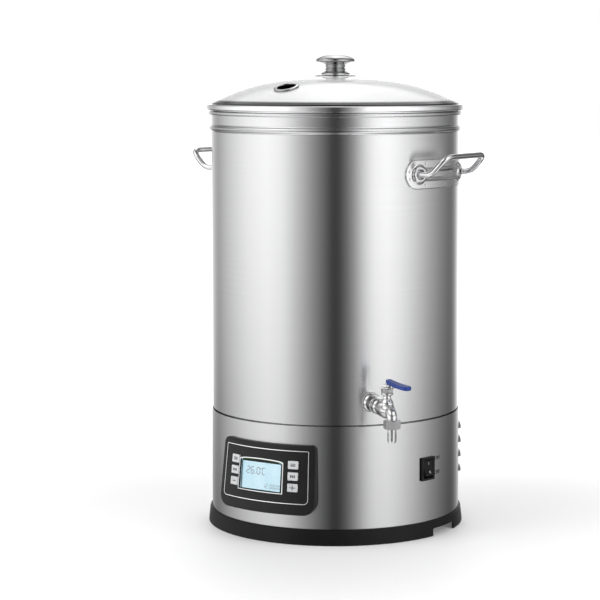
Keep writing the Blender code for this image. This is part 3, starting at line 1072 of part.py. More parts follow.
def build_valve(materials, frame):
    """The ball, its stem and the lever, which turn together about the stem."""
    steel = materials["polished_steel"]
    valve = make_empty("tap_valve", (0.0, -STEM_DISTANCE, 0.0), LEVER_REST_ANGLE, frame)
    ball_mesh = bmesh.new()
    bmesh.ops.create_uvsphere(ball_mesh, u_segments=16, v_segments=10, radius=BALL_RADIUS)
    ball = make_object("tap_ball", ball_mesh, steel, valve, (0.0, 0.0, TAP_LEVEL))
    bore = disc(TAP_BORE - 0.0004, -0.02, 0.02, 16)
    bmesh.ops.rotate(bore, verts=bore.verts, cent=(0, 0, 0),
                     matrix=Matrix.Rotation(math.radians(90.0), 3, "X"))
    cut(ball, make_object("ball_bore_cutter", bore, steel, valve, (0.0, 0.0, TAP_LEVEL)))
    ball_top = TAP_LEVEL + BALL_RADIUS
    slot_floor = ball_top - 0.0016
    slot = box((-0.0010 - GAP, -0.01, slot_floor), (0.0010 + GAP, 0.01, ball_top + 0.01))
    cut(ball, make_object("ball_slot_cutter", slot, steel, valve))
    stem_top = LEVER_HUB_TOP + LEVER_NUT_THICKNESS + GAP + 0.0008
    stem_low = ball_top + GAP
    stem = make_object("tap_stem", disc(STEM_RADIUS, stem_low, stem_top), steel, valve)
    tang = box((-0.0010, -STEM_RADIUS * 0.8, slot_floor + GAP), (0.0010, STEM_RADIUS * 0.8, stem_low + 0.001))
    join(stem, make_object("stem_tang_guide", tang, steel, valve))

    low = LEVER_HUB_BOTTOM
    metal = LEVER_METAL
    hub_end = LEVER_HUB_HALF_LENGTH
    strap_end = LEVER_LENGTH - 0.0030
    fall = LEVER_DROP / LEVER_LENGTH

    def strap_level(along):
        return LEVER_HUB_TOP + LEVER_RISE - fall * along

    side_view = [(-hub_end, low), (hub_end + metal, low), (hub_end + metal, strap_level(hub_end) - metal),
                 (strap_end, strap_level(strap_end) - metal), (strap_end, strap_level(strap_end)),
                 (hub_end, strap_level(hub_end)), (hub_end, low + metal), (-hub_end, low + metal)]
    strap = prism([(-along, level) for along, level in side_view], -LEVER_STRAP_WIDTH / 2,
                  LEVER_STRAP_WIDTH / 2)
    bmesh.ops.rotate(strap, verts=strap.verts, cent=(0, 0, 0),
                     matrix=Matrix.Rotation(math.radians(90.0), 3, "Z"))
    lever = make_object("tap_lever", strap, steel, valve)
    half = LEVER_HUB_WIDTH / 2.0
    hub = box((-half, -hub_end + 0.0015, low + 0.0001), (half, hub_end - 0.0010, low + metal - 0.0001))
    join(lever, make_object("lever_hub_guide", hub, steel, valve))
    cut(lever, make_object("lever_hole_cutter", disc(STEM_RADIUS + GAP, low - 0.002, low + 0.004), steel,
                           valve))
    nut = hexagon(LEVER_NUT_FLATS * 1.35, STEM_RADIUS + GAP, LEVER_HUB_TOP + GAP,
                  LEVER_HUB_TOP + GAP + LEVER_NUT_THICKNESS)
    make_object("lever_nut", nut, steel, valve)

    half_thick = SLEEVE_THICKNESS / 2.0
    tip = LEVER_LENGTH

    def sleeve_side(along, offset):
        return (-along, strap_level(along) - metal / 2.0 + offset)

    outline = [sleeve_side(SLEEVE_OVERHANG, -half_thick * 0.4), sleeve_side(hub_end - 0.0010, -half_thick),
               sleeve_side(tip - 0.0015, -half_thick), sleeve_side(tip, -half_thick * 0.5),
               sleeve_side(tip, half_thick * 0.5), sleeve_side(tip - 0.0015, half_thick),
               sleeve_side(SLEEVE_OVERHANG + 0.001, half_thick),
               sleeve_side(SLEEVE_OVERHANG, half_thick * 0.6)]
    grip = prism(outline, -SLEEVE_WIDTH / 2, SLEEVE_WIDTH / 2)
    bmesh.ops.rotate(grip, verts=grip.verts, cent=(0, 0, 0),
                     matrix=Matrix.Rotation(math.radians(90.0), 3, "Z"))
    sleeve = make_object("lever_sleeve", grip, materials["blue_vinyl"], valve)
    room = [(-hub_end + GAP, low), (-hub_end - metal - GAP, low),
            (-hub_end - metal - GAP, strap_level(hub_end) - metal - GAP),
            (-strap_end - GAP, strap_level(strap_end) - metal - GAP),
            (-strap_end - GAP, strap_level(strap_end) + GAP),
            (-hub_end + GAP, strap_level(hub_end) + GAP)]
    slot = prism(room, -LEVER_STRAP_WIDTH / 2 - GAP, LEVER_STRAP_WIDTH / 2 + GAP)
    bmesh.ops.rotate(slot, verts=slot.verts, cent=(0, 0, 0),
                     matrix=Matrix.Rotation(math.radians(90.0), 3, "Z"))
    cut(sleeve, make_object("sleeve_slot_cutter", slot, steel, valve))


# ---------------------------------------------------------------- electrics in the base

def build_electrics(materials):
    length, width, thickness = POWER_BOARD
    y = POWER_BOARD_Y
    board = box((-length / 2, y - width / 2, POWER_BOARD_BOTTOM),
                (length / 2, y + width / 2, POWER_BOARD_TOP))
    make_object("power_board", board, materials["circuit_board"])
    tray = box((-length / 2, y - width / 2, BASE_PLATE_TOP + GAP),
               (length / 2, y + width / 2, POWER_BOARD_BOTTOM - GAP))
    tray_item = make_object("board_tray", tray, materials["black_plastic"])
    hollow = box((-length / 2 + TRAY_WALL, y - width / 2 + TRAY_WALL, BASE_PLATE_TOP + TRAY_WALL),
                 (length / 2 - TRAY_WALL, y + width / 2 - TRAY_WALL, POWER_BOARD_BOTTOM + 0.001))
    cut(tray_item, make_object("tray_hollow", hollow, materials["ptfe"]))
    low = (-RELAY_SIZE[0] / 2, y - RELAY_SIZE[1] / 2, POWER_BOARD_TOP + GAP)
    high = (RELAY_SIZE[0] / 2, y + RELAY_SIZE[1] / 2, POWER_BOARD_TOP + GAP + RELAY_SIZE[2])
    make_object("relay", box(low, high), materials["black_plastic"])
    size = TERMINAL_SIZE
    low = (-size[0] / 2, TERMINAL_Y - size[1] / 2, BASE_PLATE_TOP + GAP)
    high = (size[0] / 2, TERMINAL_Y + size[1] / 2, BASE_PLATE_TOP + GAP + size[2])
    make_object("terminal_block", box(low, high), materials["light_plastic"])

    terminal_top = high[2] + GAP
    element_low = HEAT_PLATE_BOTTOM - GAP - ELEMENT_ROD - ELEMENT_DROP - GAP
    for number, side in enumerate((-1, 1), start=1):
        x = side * ELEMENT_RING * math.sin(math.radians(20))
        end_y = ELEMENT_RING * math.cos(math.radians(20))
        start_x = side * 0.008
        path = round_corners([(start_x, TERMINAL_Y, terminal_top),
                              (start_x, TERMINAL_Y, terminal_top + 0.020),
                              (x, end_y, element_low - 0.020), (x, end_y, element_low)], 0.012, 5)
        bent_rod("element_lead_%d" % number, path, WIRE_RADIUS, materials["wire"], resolution=1)


def main():
    clear_scene()
    materials = make_materials()
    build_kettle(materials)
    build_heater(materials)
    build_base(materials)
    build_handle("right", 90.0, materials)
    build_handle("left", -90.0, materials)
    basket = make_empty("basket")
    lid = make_empty("lid", parent=basket)
    build_basket(materials, basket)
    build_lid(materials, lid)
    build_panel(materials)
    build_switch(materials)
    build_inlet(materials)
    build_tap(materials)
    build_electrics(materials)


main()
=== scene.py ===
import bmesh
import bpy
import math
from mathutils import Matrix, Vector


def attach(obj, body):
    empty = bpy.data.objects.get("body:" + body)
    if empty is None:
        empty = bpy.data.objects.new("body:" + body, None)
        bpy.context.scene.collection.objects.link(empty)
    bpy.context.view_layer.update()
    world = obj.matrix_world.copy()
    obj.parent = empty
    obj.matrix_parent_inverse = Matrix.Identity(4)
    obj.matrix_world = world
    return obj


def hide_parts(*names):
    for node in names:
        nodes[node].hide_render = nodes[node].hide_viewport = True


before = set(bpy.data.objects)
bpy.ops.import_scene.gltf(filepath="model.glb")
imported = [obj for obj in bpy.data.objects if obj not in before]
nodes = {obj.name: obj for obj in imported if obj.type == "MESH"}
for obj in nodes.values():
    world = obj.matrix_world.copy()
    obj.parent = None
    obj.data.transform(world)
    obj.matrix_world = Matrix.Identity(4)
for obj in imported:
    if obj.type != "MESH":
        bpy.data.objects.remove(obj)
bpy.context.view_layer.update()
print("frame loaded:", len(nodes), "nodes")


# Sizes that several pieces share, in metres and degrees
brewer = {
    "wallRadius": 0.1700,
    "wallMetal": 0.0010,
    "skirtRadius": 0.1714,
    "skirtTop": 0.1582,
    "skirtBottom": 0.0210,
    "rimTop": 0.5680,
    "gap": 0.0003,
    "tapAzimuth": 48.6,
    "switchAzimuth": 78.3,
}


def aroundTo(azimuth):
    # turns work made at the front round to an azimuth
    return Matrix.Rotation(math.radians(azimuth), 4, "Z")


def pointAt(azimuth, radius, level):
    return aroundTo(azimuth) @ Vector((0, -radius, level))


def smoothStep(low, high, value):
    share = min(max((value - low) / (high - low), 0), 1)
    return share * share * (3 - 2 * share)


def moved(bm, *matrices):
    for matrix in matrices:
        bmesh.ops.transform(bm, matrix=matrix, verts=bm.verts)
    return bm


def merged(*shapes):
    whole = shapes[0]
    for shape in shapes[1:]:
        mesh = bpy.data.meshes.new("part")
        shape.to_mesh(mesh)
        whole.from_mesh(mesh)
        shape.free()
        bpy.data.meshes.remove(mesh)
    return whole


def turned(profile, steps=160, segments=3):
    # a profile of (radius, level) or (radius, level, roundness) corners spun about the upright axis
    bm = bmesh.new()
    verts = [bm.verts.new((corner[0], 0, corner[1])) for corner in profile]
    pairs = list(zip(verts, verts[1:]))
    if profile[0][0] > 0 or profile[-1][0] > 0:
        pairs.append((verts[-1], verts[0]))
    edges = [bm.edges.new(pair) for pair in pairs]
    bmesh.ops.spin(bm, geom=verts + edges, cent=(0, 0, 0), axis=(0, 0, 1), angle=math.tau, steps=steps,
                   use_merge=True)
    bmesh.ops.remove_doubles(bm, verts=bm.verts, dist=1e-6)
    bmesh.ops.recalc_face_normals(bm, faces=bm.faces)
    for size in sorted({corner[2] for corner in profile if len(corner) == 3}):
        rings = [corner for corner in profile if len(corner) == 3 and corner[2] == size]
        chosen = [edge for edge in bm.edges if any(onRing(edge, ring) for ring in rings)]
        bmesh.ops.bevel(bm, geom=chosen, offset=size, segments=segments, profile=0.5, affect="EDGES",
                        material=-1, clamp_overlap=True)
    return bm


def rod(radius, low, high, steps):
    return turned([(0, low), (radius, low), (radius, high), (0, high)], steps)


def onRing(edge, ring):
    return all(abs(math.hypot(vert.co.x, vert.co.y) - ring[0]) < 1e-5 and abs(vert.co.z - ring[1]) < 1e-5
               for vert in edge.verts)


def block(low, high):
    bm = bmesh.new()
    bmesh.ops.create_cube(bm, size=1)
    low, high = Vector(low), Vector(high)
    bmesh.ops.scale(bm, vec=high - low, verts=bm.verts)
    bmesh.ops.translate(bm, vec=(low + high) / 2, verts=bm.verts)
    return bm


def plate(low, high, roundness, depth, segments=8):
    # a flat plate facing the front, from y = 0 out to -depth, with its four corners rounded
    bm = bmesh.new()
    corners = [bm.verts.new((x, 0, z)) for x,
               z in ((low[0], low[1]), (high[0], low[1]), high, (low[0], high[1]))]
    bm.faces.new(corners)
    for corner, size in zip(corners, roundness):
        if size > 0:
            bmesh.ops.bevel(bm, geom=[corner], offset=size, segments=segments, profile=0.5, affect="VERTICES",
                            material=-1)
    return thickened(bm, depth)


def outlinePlate(outline, depth):
    bm = bmesh.new()
    bm.faces.new([bm.verts.new((x, 0, z)) for x, z in outline])
    return thickened(bm, depth)


def thickened(bm, depth):
    grown = bmesh.ops.extrude_face_region(bm, geom=bm.faces[:], use_keep_orig=True)
    fresh = [item for item in grown["geom"] if isinstance(item, bmesh.types.BMVert)]
    bmesh.ops.translate(bm, vec=(0, -depth, 0), verts=fresh)
    bmesh.ops.recalc_face_normals(bm, faces=bm.faces)
    return bm


def softened(bm, size, segments=3, angle=30, where=None):
    sharp = [edge for edge in bm.edges if edge.is_manifold and edge.calc_face_angle() > math.radians(angle)
             and (where is None or where(edge))]
    bmesh.ops.bevel(bm, geom=sharp, offset=size, segments=segments, profile=0.5, affect="EDGES", material=-1,
                    clamp_overlap=True)
    return bm


def looseObject(bm):
    mesh = bpy.data.meshes.new("part")
    bm.to_mesh(mesh)
    item = bpy.data.objects.new("part", mesh)
    bpy.context.scene.collection.objects.link(item)
    return item


def carved(bm, *tools, operation="DIFFERENCE"):
    for tool in tools:
        blank, cutter = looseObject(bm), looseObject(tool)
        work = blank.modifiers.new("carve", "BOOLEAN")
        work.operation = operation
        work.solver = "EXACT"
        work.object = cutter
        result = bpy.data.meshes.new_from_object(blank.evaluated_get(bpy.context.evaluated_depsgraph_get()))
        bm.clear()
        bm.from_mesh(result)
        tool.free()
        for item in (blank, cutter):
            mesh = item.data
            bpy.data.objects.remove(item)
            bpy.data.meshes.remove(mesh)
        bpy.data.meshes.remove(result)
    return bm


def sliced(bm, axis, low, high, pieces):
    normal = Vector([1 if index == axis else 0 for index in range(3)])
    for index in range(1, pieces):
        place = normal * (low + (high - low) * index / pieces)
        bmesh.ops.bisect_plane(bm, geom=bm.verts[:] + bm.edges[:] + bm.faces[:], plane_co=place,
                               plane_no=normal,
                               dist=1e-6)
    return bm


def bentRound(bm, radius):
    # x becomes a way round the wall and -y a height above it
    for vert in bm.verts:
        angle = vert.co.x / radius
        out = radius - vert.co.y
        vert.co.x, vert.co.y = out * math.sin(angle), -out * math.cos(angle)
    return bm


def tube(path, radius, steps=8):
    # a round bar along a path, made as a curve and taken as a mesh
    curve = bpy.data.curves.new("bar", "CURVE")
    curve.dimensions = "3D"
    curve.bevel_depth = radius
    curve.bevel_resolution = steps
    curve.use_fill_caps = True
    spline = curve.splines.new("POLY")
    spline.points.add(len(path) - 1)
    for point, place in zip(spline.points, path):
        point.co = (*place, 1)
    item = bpy.data.objects.new("bar", curve)
    bpy.context.scene.collection.objects.link(item)
    return fromObject(item)


def fromObject(item):
    mesh = bpy.data.meshes.new_from_object(item.evaluated_get(bpy.context.evaluated_depsgraph_get()))
    bm = bmesh.new()
    bm.from_mesh(mesh)
    data = item.data
    bpy.data.objects.remove(item)
    bpy.data.curves.remove(data)
    bpy.data.meshes.remove(mesh)
    bmesh.ops.remove_doubles(bm, verts=bm.verts, dist=1e-6)
    bmesh.ops.recalc_face_normals(bm, faces=bm.faces)
    return bm


def lettered(text, height, depth):
    # raised characters facing the front, centred on the origin
    font = bpy.data.curves.new("mark", "FONT")
    font.body = text
    font.size = height * 1.4
    font.extrude = depth / 2
    font.align_x = "CENTER"
    font.align_y = "CENTER"
    font.resolution_u = 3
    item = bpy.data.objects.new("mark", font)
    bpy.context.scene.collection.objects.link(item)
    return moved(fromObject(item), Matrix.Rotation(math.radians(90), 4, "X"))


def softPath(corners, radius, steps=8):
    # a path with its inner corners rounded
    path = [Vector(corners[0])]
    for before, corner, after in zip(corners, corners[1:], corners[2:]):
        corner = Vector(corner)
        into, out = Vector(before) - corner, Vector(after) - corner
        reach = min(radius, into.length * 0.49, out.length * 0.49)
        start, end = corner + into.normalized() * reach, corner + out.normalized() * reach
        for index in range(steps + 1):
            share = index / steps
            path.append(start * (1 - share) ** 2 + corner * 2 * share * (1 - share) + end * share ** 2)
    return path + [Vector(corners[-1])]


def hexagonal(flats, bore, bottom, top, chamfer):
    # a hexagon nut about the upright axis, its corners turned down as on a real nut
    bm = bmesh.new()
    bmesh.ops.create_cone(bm, cap_ends=True, segments=6, radius1=flats / math.sqrt(3),
                          radius2=flats / math.sqrt(3),
                          depth=top - bottom, matrix=Matrix.Translation((0, 0, (top + bottom) / 2)))
    corner = flats / math.sqrt(3)
    lathe = turned([(0, bottom), (flats / 2 - chamfer * 0.3, bottom), (corner + 0.0002, bottom + chamfer),
                    (corner + 0.0002, top - chamfer), (flats / 2 - chamfer * 0.3, top), (0, top)], 60)
    carved(bm, lathe, operation="INTERSECT")
    if bore > 0:
        carved(bm, turned([(0, bottom - 0.01), (bore, bottom - 0.01), (bore, top + 0.01), (0, top + 0.01)], 48))
    return softened(bm, 0.00025, 2, 25)


pieces = {}


def finished(name, bm, body, materials, replaced=(), sharp=35, weighted=True):
    # makes the piece, shades it smooth between its sharp edges and rides it on its body
    bmesh.ops.remove_doubles(bm, verts=bm.verts, dist=1e-7)
    for face in bm.faces:
        face.smooth = True
    for edge in bm.edges:
        edge.smooth = edge.is_manifold and edge.calc_face_angle() < math.radians(sharp)
    mesh = bpy.data.meshes.new(name)
    bm.to_mesh(mesh)
    bm.free()
    for material in materials if isinstance(materials, (list, tuple)) else [materials]:
        mesh.materials.append(material)
    piece = bpy.data.objects.new(name, mesh)
    bpy.context.scene.collection.objects.link(piece)
    if weighted:
        normals = piece.modifiers.new("even normals", "WEIGHTED_NORMAL")
        normals.keep_sharp = True
        normals.weight = 50
    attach(piece, body)
    if replaced:
        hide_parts(*replaced)
    pieces[name] = piece
    return piece


class Signal:
    def __init__(self, finish, socket):
        self.finish = finish
        self.socket = socket

    def combined(self, operation, first, second):
        return self.finish.add("ShaderNodeMath", {"operation": operation}, {0: first, 1: second})

    def __add__(self, other):
        return self.combined("ADD", self, other)

    __radd__ = __add__

    def __sub__(self, other):
        return self.combined("SUBTRACT", self, other)

    def __rsub__(self, other):
        return self.combined("SUBTRACT", other, self)

    def __mul__(self, other):
        return self.combined("MULTIPLY", self, other)

    __rmul__ = __mul__

    def __truediv__(self, other):
        return self.combined("DIVIDE", self, other)

    def between(self, low, high):
        return self.finish.add("ShaderNodeMapRange", {"clamp": True, "interpolation_type": "SMOOTHSTEP"},
                               {"Value": self, "From Min": low, "From Max": high})


class Finish:
    # the nodes of a material, or of the world when one is given
    def __init__(self, name, owner=None):
        self.owner = owner or bpy.data.materials.new(name)
        self.owner.use_nodes = True
        self.tree = self.owner.node_tree
        self.tree.nodes.clear()

    def add(self, kind, settings=None, values=None, output=0):
        node = self.tree.nodes.new(kind)
        for name, value in (settings or {}).items():
            if name == "stops":
                self.setStops(node.color_ramp, value)
            else:
                setattr(node, name, value)
        for key, value in (values or {}).items():
            if isinstance(value, Signal):
                self.tree.links.new(value.socket, node.inputs[key])
            else:
                node.inputs[key].default_value = value
        return Signal(self, node.outputs[output]) if node.outputs else None

    def setStops(self, ramp, stops):
        while len(ramp.elements) < len(stops):
            ramp.elements.new(0.5)
        for element, (place, color) in zip(ramp.elements, stops):
            element.position = place
            element.color = (*color, 1) if isinstance(color, tuple) else (color, color, color, 1)

    def place(self, scale=(1, 1, 1)):
        # the piece's own coordinates, stretched
        coordinates = self.add("ShaderNodeTexCoord", output="Object")
        return self.add("ShaderNodeMapping", {}, {"Vector": coordinates, "Scale": scale})

    def noise(self, scale, stretch=(1, 1, 1), detail=2, rough=0.5):
        return self.add("ShaderNodeTexNoise", {}, {"Vector": self.place(stretch), "Scale": scale,
                                                   "Detail": detail, "Roughness": rough})

    def mix(self, factor, first, second):
        return self.add("ShaderNodeMix", {"data_type": "RGBA"}, {0: factor, 6: first, 7: second}, 2)

    def bump(self, height, strength, distance):
        return self.add("ShaderNodeBump", {}, {"Height": height, "Strength": strength, "Distance": distance})

    def shade(self, values):
        shader = self.add("ShaderNodeBsdfPrincipled", {}, values)
        self.add("ShaderNodeOutputMaterial", {}, {"Surface": shader})
        return self.owner


brushedTune = {
    "tint": (0.640, 0.640, 0.645, 1),
    "streakTint": (0.615, 0.617, 0.622, 1),
    "roughness": 0.22,
    "roughnessSpread": 0.05,
    "grainHeight": 0.00002,
    "grainStrength": 0.12,
    "stretch": 0.80,               # how far the grain draws a highlight out across itself
}


def brushedSteel(name, stretch, stretchTurn=0.25, tune=brushedTune):
    # satin steel whose grain runs along the two directions with the small stretch
    finish = Finish(name)
    fine = finish.noise(1, stretch, 3, 0.6)
    broad = finish.noise(1, [value * 0.13 for value in stretch], 2)
    streak = (fine * 0.8 + broad * 0.2).between(0.32, 0.68)
    color = finish.mix(streak, tune["tint"], tune["streakTint"])
    roughness = (fine - 0.5) * tune["roughnessSpread"] + tune["roughness"]
    normal = finish.bump(fine, tune["grainStrength"], tune["grainHeight"])
    return finish.shade({"Base Color": color, "Metallic": 1.0, "Roughness": roughness, "Normal": normal,
                         "Anisotropic": tune["stretch"], "Anisotropic Rotation": stretchTurn})


def polishedSteel(name, tint=(0.78, 0.78, 0.79, 1), roughness=0.07, cloud=0.05, scale=60):
    # mirror finish with faint wiping marks
    finish = Finish(name)
    smear = finish.noise(scale, (1, 1, 3), 4, 0.6)
    speck = finish.noise(scale * 14, (1, 1, 1), 2)
    color = finish.mix(smear.between(0.3, 0.7), tint, tuple(value * 0.94 for value in tint[:3]) + (1,))
    return finish.shade({"Base Color": color, "Metallic": 1.0,
                         "Roughness": smear * cloud + speck * 0.02 + roughness,
                         "Normal": finish.bump(speck, 0.06, 0.00002)})


def mouldedPlastic(name, tint, worn, roughness, grainScale=2600, grain=0.12, coat=0.0, specular=0.5):
    # moulded plastic with a fine etched grain
    finish = Finish(name)
    etched = finish.noise(grainScale, (1, 1, 1), 3, 0.6)
    patch = finish.noise(22, (1, 1, 1), 4, 0.6).between(0.35, 0.7)
    color = finish.mix(patch, tint, worn)
    return finish.shade({"Base Color": color, "Roughness": patch * 0.07 + etched * 0.10 + roughness,
                         "Normal": finish.bump(etched, grain, 0.00004), "Coat Weight": coat,
                         "Coat Roughness": 0.15, "Specular IOR Level": specular})


def clearGlass(name, tint, milk, roughness=0.03, edge=0):
    # glass with a little haze in it and faint waviness from its pressing; given an edge radius, a painted shade
    # darkens it to near black round that edge
    finish = Finish(name)
    wave = finish.noise(14, (1, 1, 1), 2)
    haze = finish.noise(9, (1, 1, 2), 3)
    color = finish.mix(haze.between(0.3, 0.7), tint, tuple(value * 0.97 for value in tint[:3]) + (1,))
    # painted shade: near-black colour painted round the glass's edge, in place of the dark inside of the pot
    # seen through it
    if edge:
        flat = finish.add("ShaderNodeVectorMath", {"operation": "MULTIPLY"}, {0: finish.place(), 1: (1, 1, 0)})
        radius = finish.add("ShaderNodeVectorMath", {"operation": "LENGTH"}, {0: flat}, "Value")
        color = finish.mix(radius.between(edge - 0.005, edge), color, (0.012, 0.012, 0.012, 1))
    return finish.shade({"Base Color": color, "Roughness": haze * 0.03 + roughness, "IOR": 1.5,
                         "Transmission Weight": milk, "Normal": finish.bump(wave, 0.08, 0.0004)})


def circuitBoard(name):
    finish = Finish(name)
    tracks = finish.add("ShaderNodeTexBrick", {"offset": 0.5, "squash": 1.0},
                        {"Vector": finish.place((160, 160, 160)), "Color1": (0.02, 0.15, 0.06, 1),
                         "Color2": (0.03, 0.20, 0.08, 1), "Mortar": (0.20, 0.30, 0.10, 1), "Scale": 1.0,
                         "Mortar Size": 0.03})
    return finish.shade({"Base Color": tracks, "Roughness": finish.noise(800) * 0.2 + 0.35})


def litDisplay(name):
    # a backlit screen, brighter in soft random patches, with a faint fine speckle in its roughness
    finish = Finish(name)
    glow = finish.noise(22, (1, 1, 1), 2).between(0.30, 0.70)
    grid = finish.noise(3200, (1, 1, 1), 1)
    color = finish.mix(glow, (0.42, 0.68, 0.80, 1), (0.60, 0.80, 0.88, 1))
    return finish.shade({"Base Color": (0.08, 0.12, 0.13, 1), "Roughness": grid * 0.1 + 0.3,
                         "Emission Color": color, "Emission Strength": 0.92})


steelAround = brushedSteel("steelAround", (6, 6, 2400))
steelPlate = brushedSteel("steelPlate", (6, 6, 1500), tune={**brushedTune, "tint": (0.76, 0.76, 0.765, 1),
                                                          "streakTint": (0.70, 0.70, 0.705, 1), "stretch": 0.3})
steelBasket = brushedSteel("steelBasket", (8, 8, 900))
mirrorSteel = polishedSteel("mirrorSteel")
castSteel = polishedSteel("castSteel", (0.74, 0.74, 0.745, 1), 0.16, 0.10, 120)
knobSteel = polishedSteel("knobSteel", (0.44, 0.44, 0.445, 1), 0.05, 0.04)
rodSteel = polishedSteel("rodSteel", (0.74, 0.74, 0.75, 1), 0.12, 0.08, 90)
# the lid glass gets a painted shade ring, near black beyond radius 0.1655 and fading in over 5 mm inside it
lidGlass = clearGlass("lidGlass", (0.90, 0.905, 0.905, 1), 0.30, 0.03, 0.1655)
windowGlass = clearGlass("windowGlass", (0.98, 0.99, 1.0, 1), 1.0, 0.02)
ringBlack = mouldedPlastic("ringBlack", (0.007, 0.007, 0.007, 1), (0.011, 0.011, 0.011, 1), 0.36, 1800, 0.20, 0,
                           0.14)
panelBlack = mouldedPlastic("panelBlack", (0.008, 0.008, 0.008, 1), (0.012, 0.012, 0.012, 1), 0.28, 3000, 0.10,
                            0, 0.22)
glossBlack = mouldedPlastic("glossBlack", (0.010, 0.010, 0.011, 1), (0.016, 0.016, 0.017, 1), 0.22, 2400, 0.05,
                            0.0, 0.15)
keyGrey = mouldedPlastic("keyGrey", (0.56, 0.57, 0.58, 1), (0.51, 0.52, 0.53, 1), 0.32, 2600, 0.06, 0.1)
inlaySilver = polishedSteel("inlaySilver", (0.82, 0.83, 0.84, 1), 0.22, 0.05)
markGrey = mouldedPlastic("markGrey", (0.035, 0.035, 0.038, 1), (0.05, 0.05, 0.053, 1), 0.40)
markPale = mouldedPlastic("markPale", (0.42, 0.42, 0.43, 1), (0.36, 0.36, 0.37, 1), 0.40)
digitGrey = mouldedPlastic("digitGrey", (0.20, 0.30, 0.34, 1), (0.17, 0.26, 0.30, 1), 0.35)
screen = litDisplay("screen")
vinylBlue = mouldedPlastic("vinylBlue", (0.006, 0.030, 0.190, 1), (0.009, 0.042, 0.240, 1), 0.22, 500, 0.15,
                           0.25, 0.3)
siliconeGrey = mouldedPlastic("siliconeGrey", (0.42, 0.42, 0.41, 1), (0.36, 0.36, 0.35, 1), 0.50, 900, 0.2)
ptfeWhite = mouldedPlastic("ptfeWhite", (0.80, 0.80, 0.78, 1), (0.74, 0.74, 0.72, 1), 0.42, 900, 0.1)
castAluminium = polishedSteel("castAluminium", (0.55, 0.55, 0.56, 1), 0.38, 0.15, 200)
boardGreen = circuitBoard("boardGreen")
wireRed = mouldedPlastic("wireRed", (0.36, 0.02, 0.015, 1), (0.28, 0.02, 0.015, 1), 0.40, 700, 0.15)
print("materials made:", len(bpy.data.materials))


kettle = {
    "floor": 0.1400,
    "floorRound": 0.0090,
    "footRound": 0.0100,
    "wallStep": 0.0012,            # height of the slope between the neck and the wall
    "neckDrop": 0.0020,            # the wall steps in where it enters the skirt
    "seamTop": 0.1588,
    "beadLevel": 0.5450,
    "beadHalf": 0.0042,
    "beadReach": 0.0031,
    "rimHeight": 0.0052,
    "rimReach": 0.0042,
    "rimRound": 0.00205,
    "tapHole": 0.0106,
    "tapHoleRun": (0.150, 0.180),
}


def buildKettle():
    radius, metal, top = brewer["wallRadius"], brewer["wallMetal"], brewer["rimTop"]
    neck = radius - kettle["neckDrop"]
    inside = neck - metal
    rim = radius + kettle["rimReach"]
    low = kettle["floor"]
    level, half, reach = kettle["beadLevel"], kettle["beadHalf"], kettle["beadReach"]
    rolled = kettle["rimRound"]
    profile = [(0, low), (neck, low, kettle["footRound"]), (neck, kettle["seamTop"]),
               (radius, kettle["seamTop"] + kettle["wallStep"], 0.0006), (radius, level - half, 0.0012),
               (radius + reach, level - half * 0.45, 0.0018), (radius + reach, level + half * 0.45, 0.0018),
               (radius, level + half, 0.0012), (radius, top - kettle["rimHeight"], 0.0004),
               (rim, top - kettle["rimHeight"] - 0.0002, rolled), (rim, top, rolled),
               (inside, top, 0.0006), (inside, low + metal, kettle["floorRound"]), (0, low + metal)]
    bm = turned(profile, 256, 5)
    carved(bm, atTap(outwards(rod(kettle["tapHole"], *kettle["tapHoleRun"], 48))))
    finished("kettleWall", bm, "brewer", steelAround, ["kettle_shell"], 40)


skirt = {
    "metal": 0.0010,
    # holes through the wall: azimuth, half width, bottom, top
    "openings": ((0, 0.056, 0.054, 0.123), (brewer["switchAzimuth"], 0.0111, 0.0788, 0.1070),
                 (180, 0.0138, 0.0497, 0.0703)),
    "cutFrom": 0.1,                # the cutters run from here to twice as far out
}

louvre = {
    "columns": (127.5, -127.5),
    "bottoms": (0.0680, 0.0885, 0.1085, 0.1280),
    "halfAngle": 9.5,
    "height": 0.0100,
    "reach": 0.0032,
    "metal": 0.0008,
}


def buildSkirt():
    radius, low, high = brewer["skirtRadius"], brewer["skirtBottom"], brewer["skirtTop"]
    inside = radius - skirt["metal"]
    bm = turned([(inside, low), (radius, low, 0.0003), (radius, high, 0.0004), (inside, high)], 256, 3)
    near = skirt["cutFrom"]
    slotHalf = math.radians(louvre["halfAngle"]) * radius * 0.93
    slots = [(column, slotHalf, bottom + 0.0002, bottom + louvre["height"] * 0.62)
             for column in louvre["columns"] for bottom in louvre["bottoms"]]
    carved(bm, *[moved(block((-half, -near * 2, bottom), (half, -near, top)), aroundTo(azimuth))
                 for azimuth, half, bottom, top in (*skirt["openings"], *slots)])
    finished("skirtWall", bm, "brewer", steelAround, ["housing_skirt"], 40)
    hoods = merged(*[louvreHood(column, bottom)
                     for column in louvre["columns"] for bottom in louvre["bottoms"]])
    finished("louvreHoods", hoods, "brewer", steelAround, ["housing_skirt"], 50)


def louvreHood(column, bottom):
    # one pressed hood: deepest at its open lower edge, closed at its top and ends
    radius = brewer["skirtRadius"]
    half = math.radians(louvre["halfAngle"]) * radius
    bm = bmesh.new()
    bmesh.ops.create_grid(bm, x_segments=40, y_segments=12, size=1)
    for vert in bm.verts:
        along, up = vert.co.x, (vert.co.y + 1) / 2
        end = 1 - smoothStep(0.72, 1.0, abs(along))
        dome = math.sqrt(max(1 - up * up, 0)) * end
        vert.co = Vector((along * half, -louvre["reach"] * dome - 0.0001, bottom + up * louvre["height"]))
    bmesh.ops.recalc_face_normals(bm, faces=bm.faces)
    if bm.faces[len(bm.faces) // 2].normal.y > 0:
        bmesh.ops.reverse_faces(bm, faces=bm.faces)
    bmesh.ops.solidify(bm, geom=bm.faces[:], thickness=louvre["metal"])
    bmesh.ops.recalc_face_normals(bm, faces=bm.faces)
    return moved(bentRound(bm, radius), aroundTo(column))


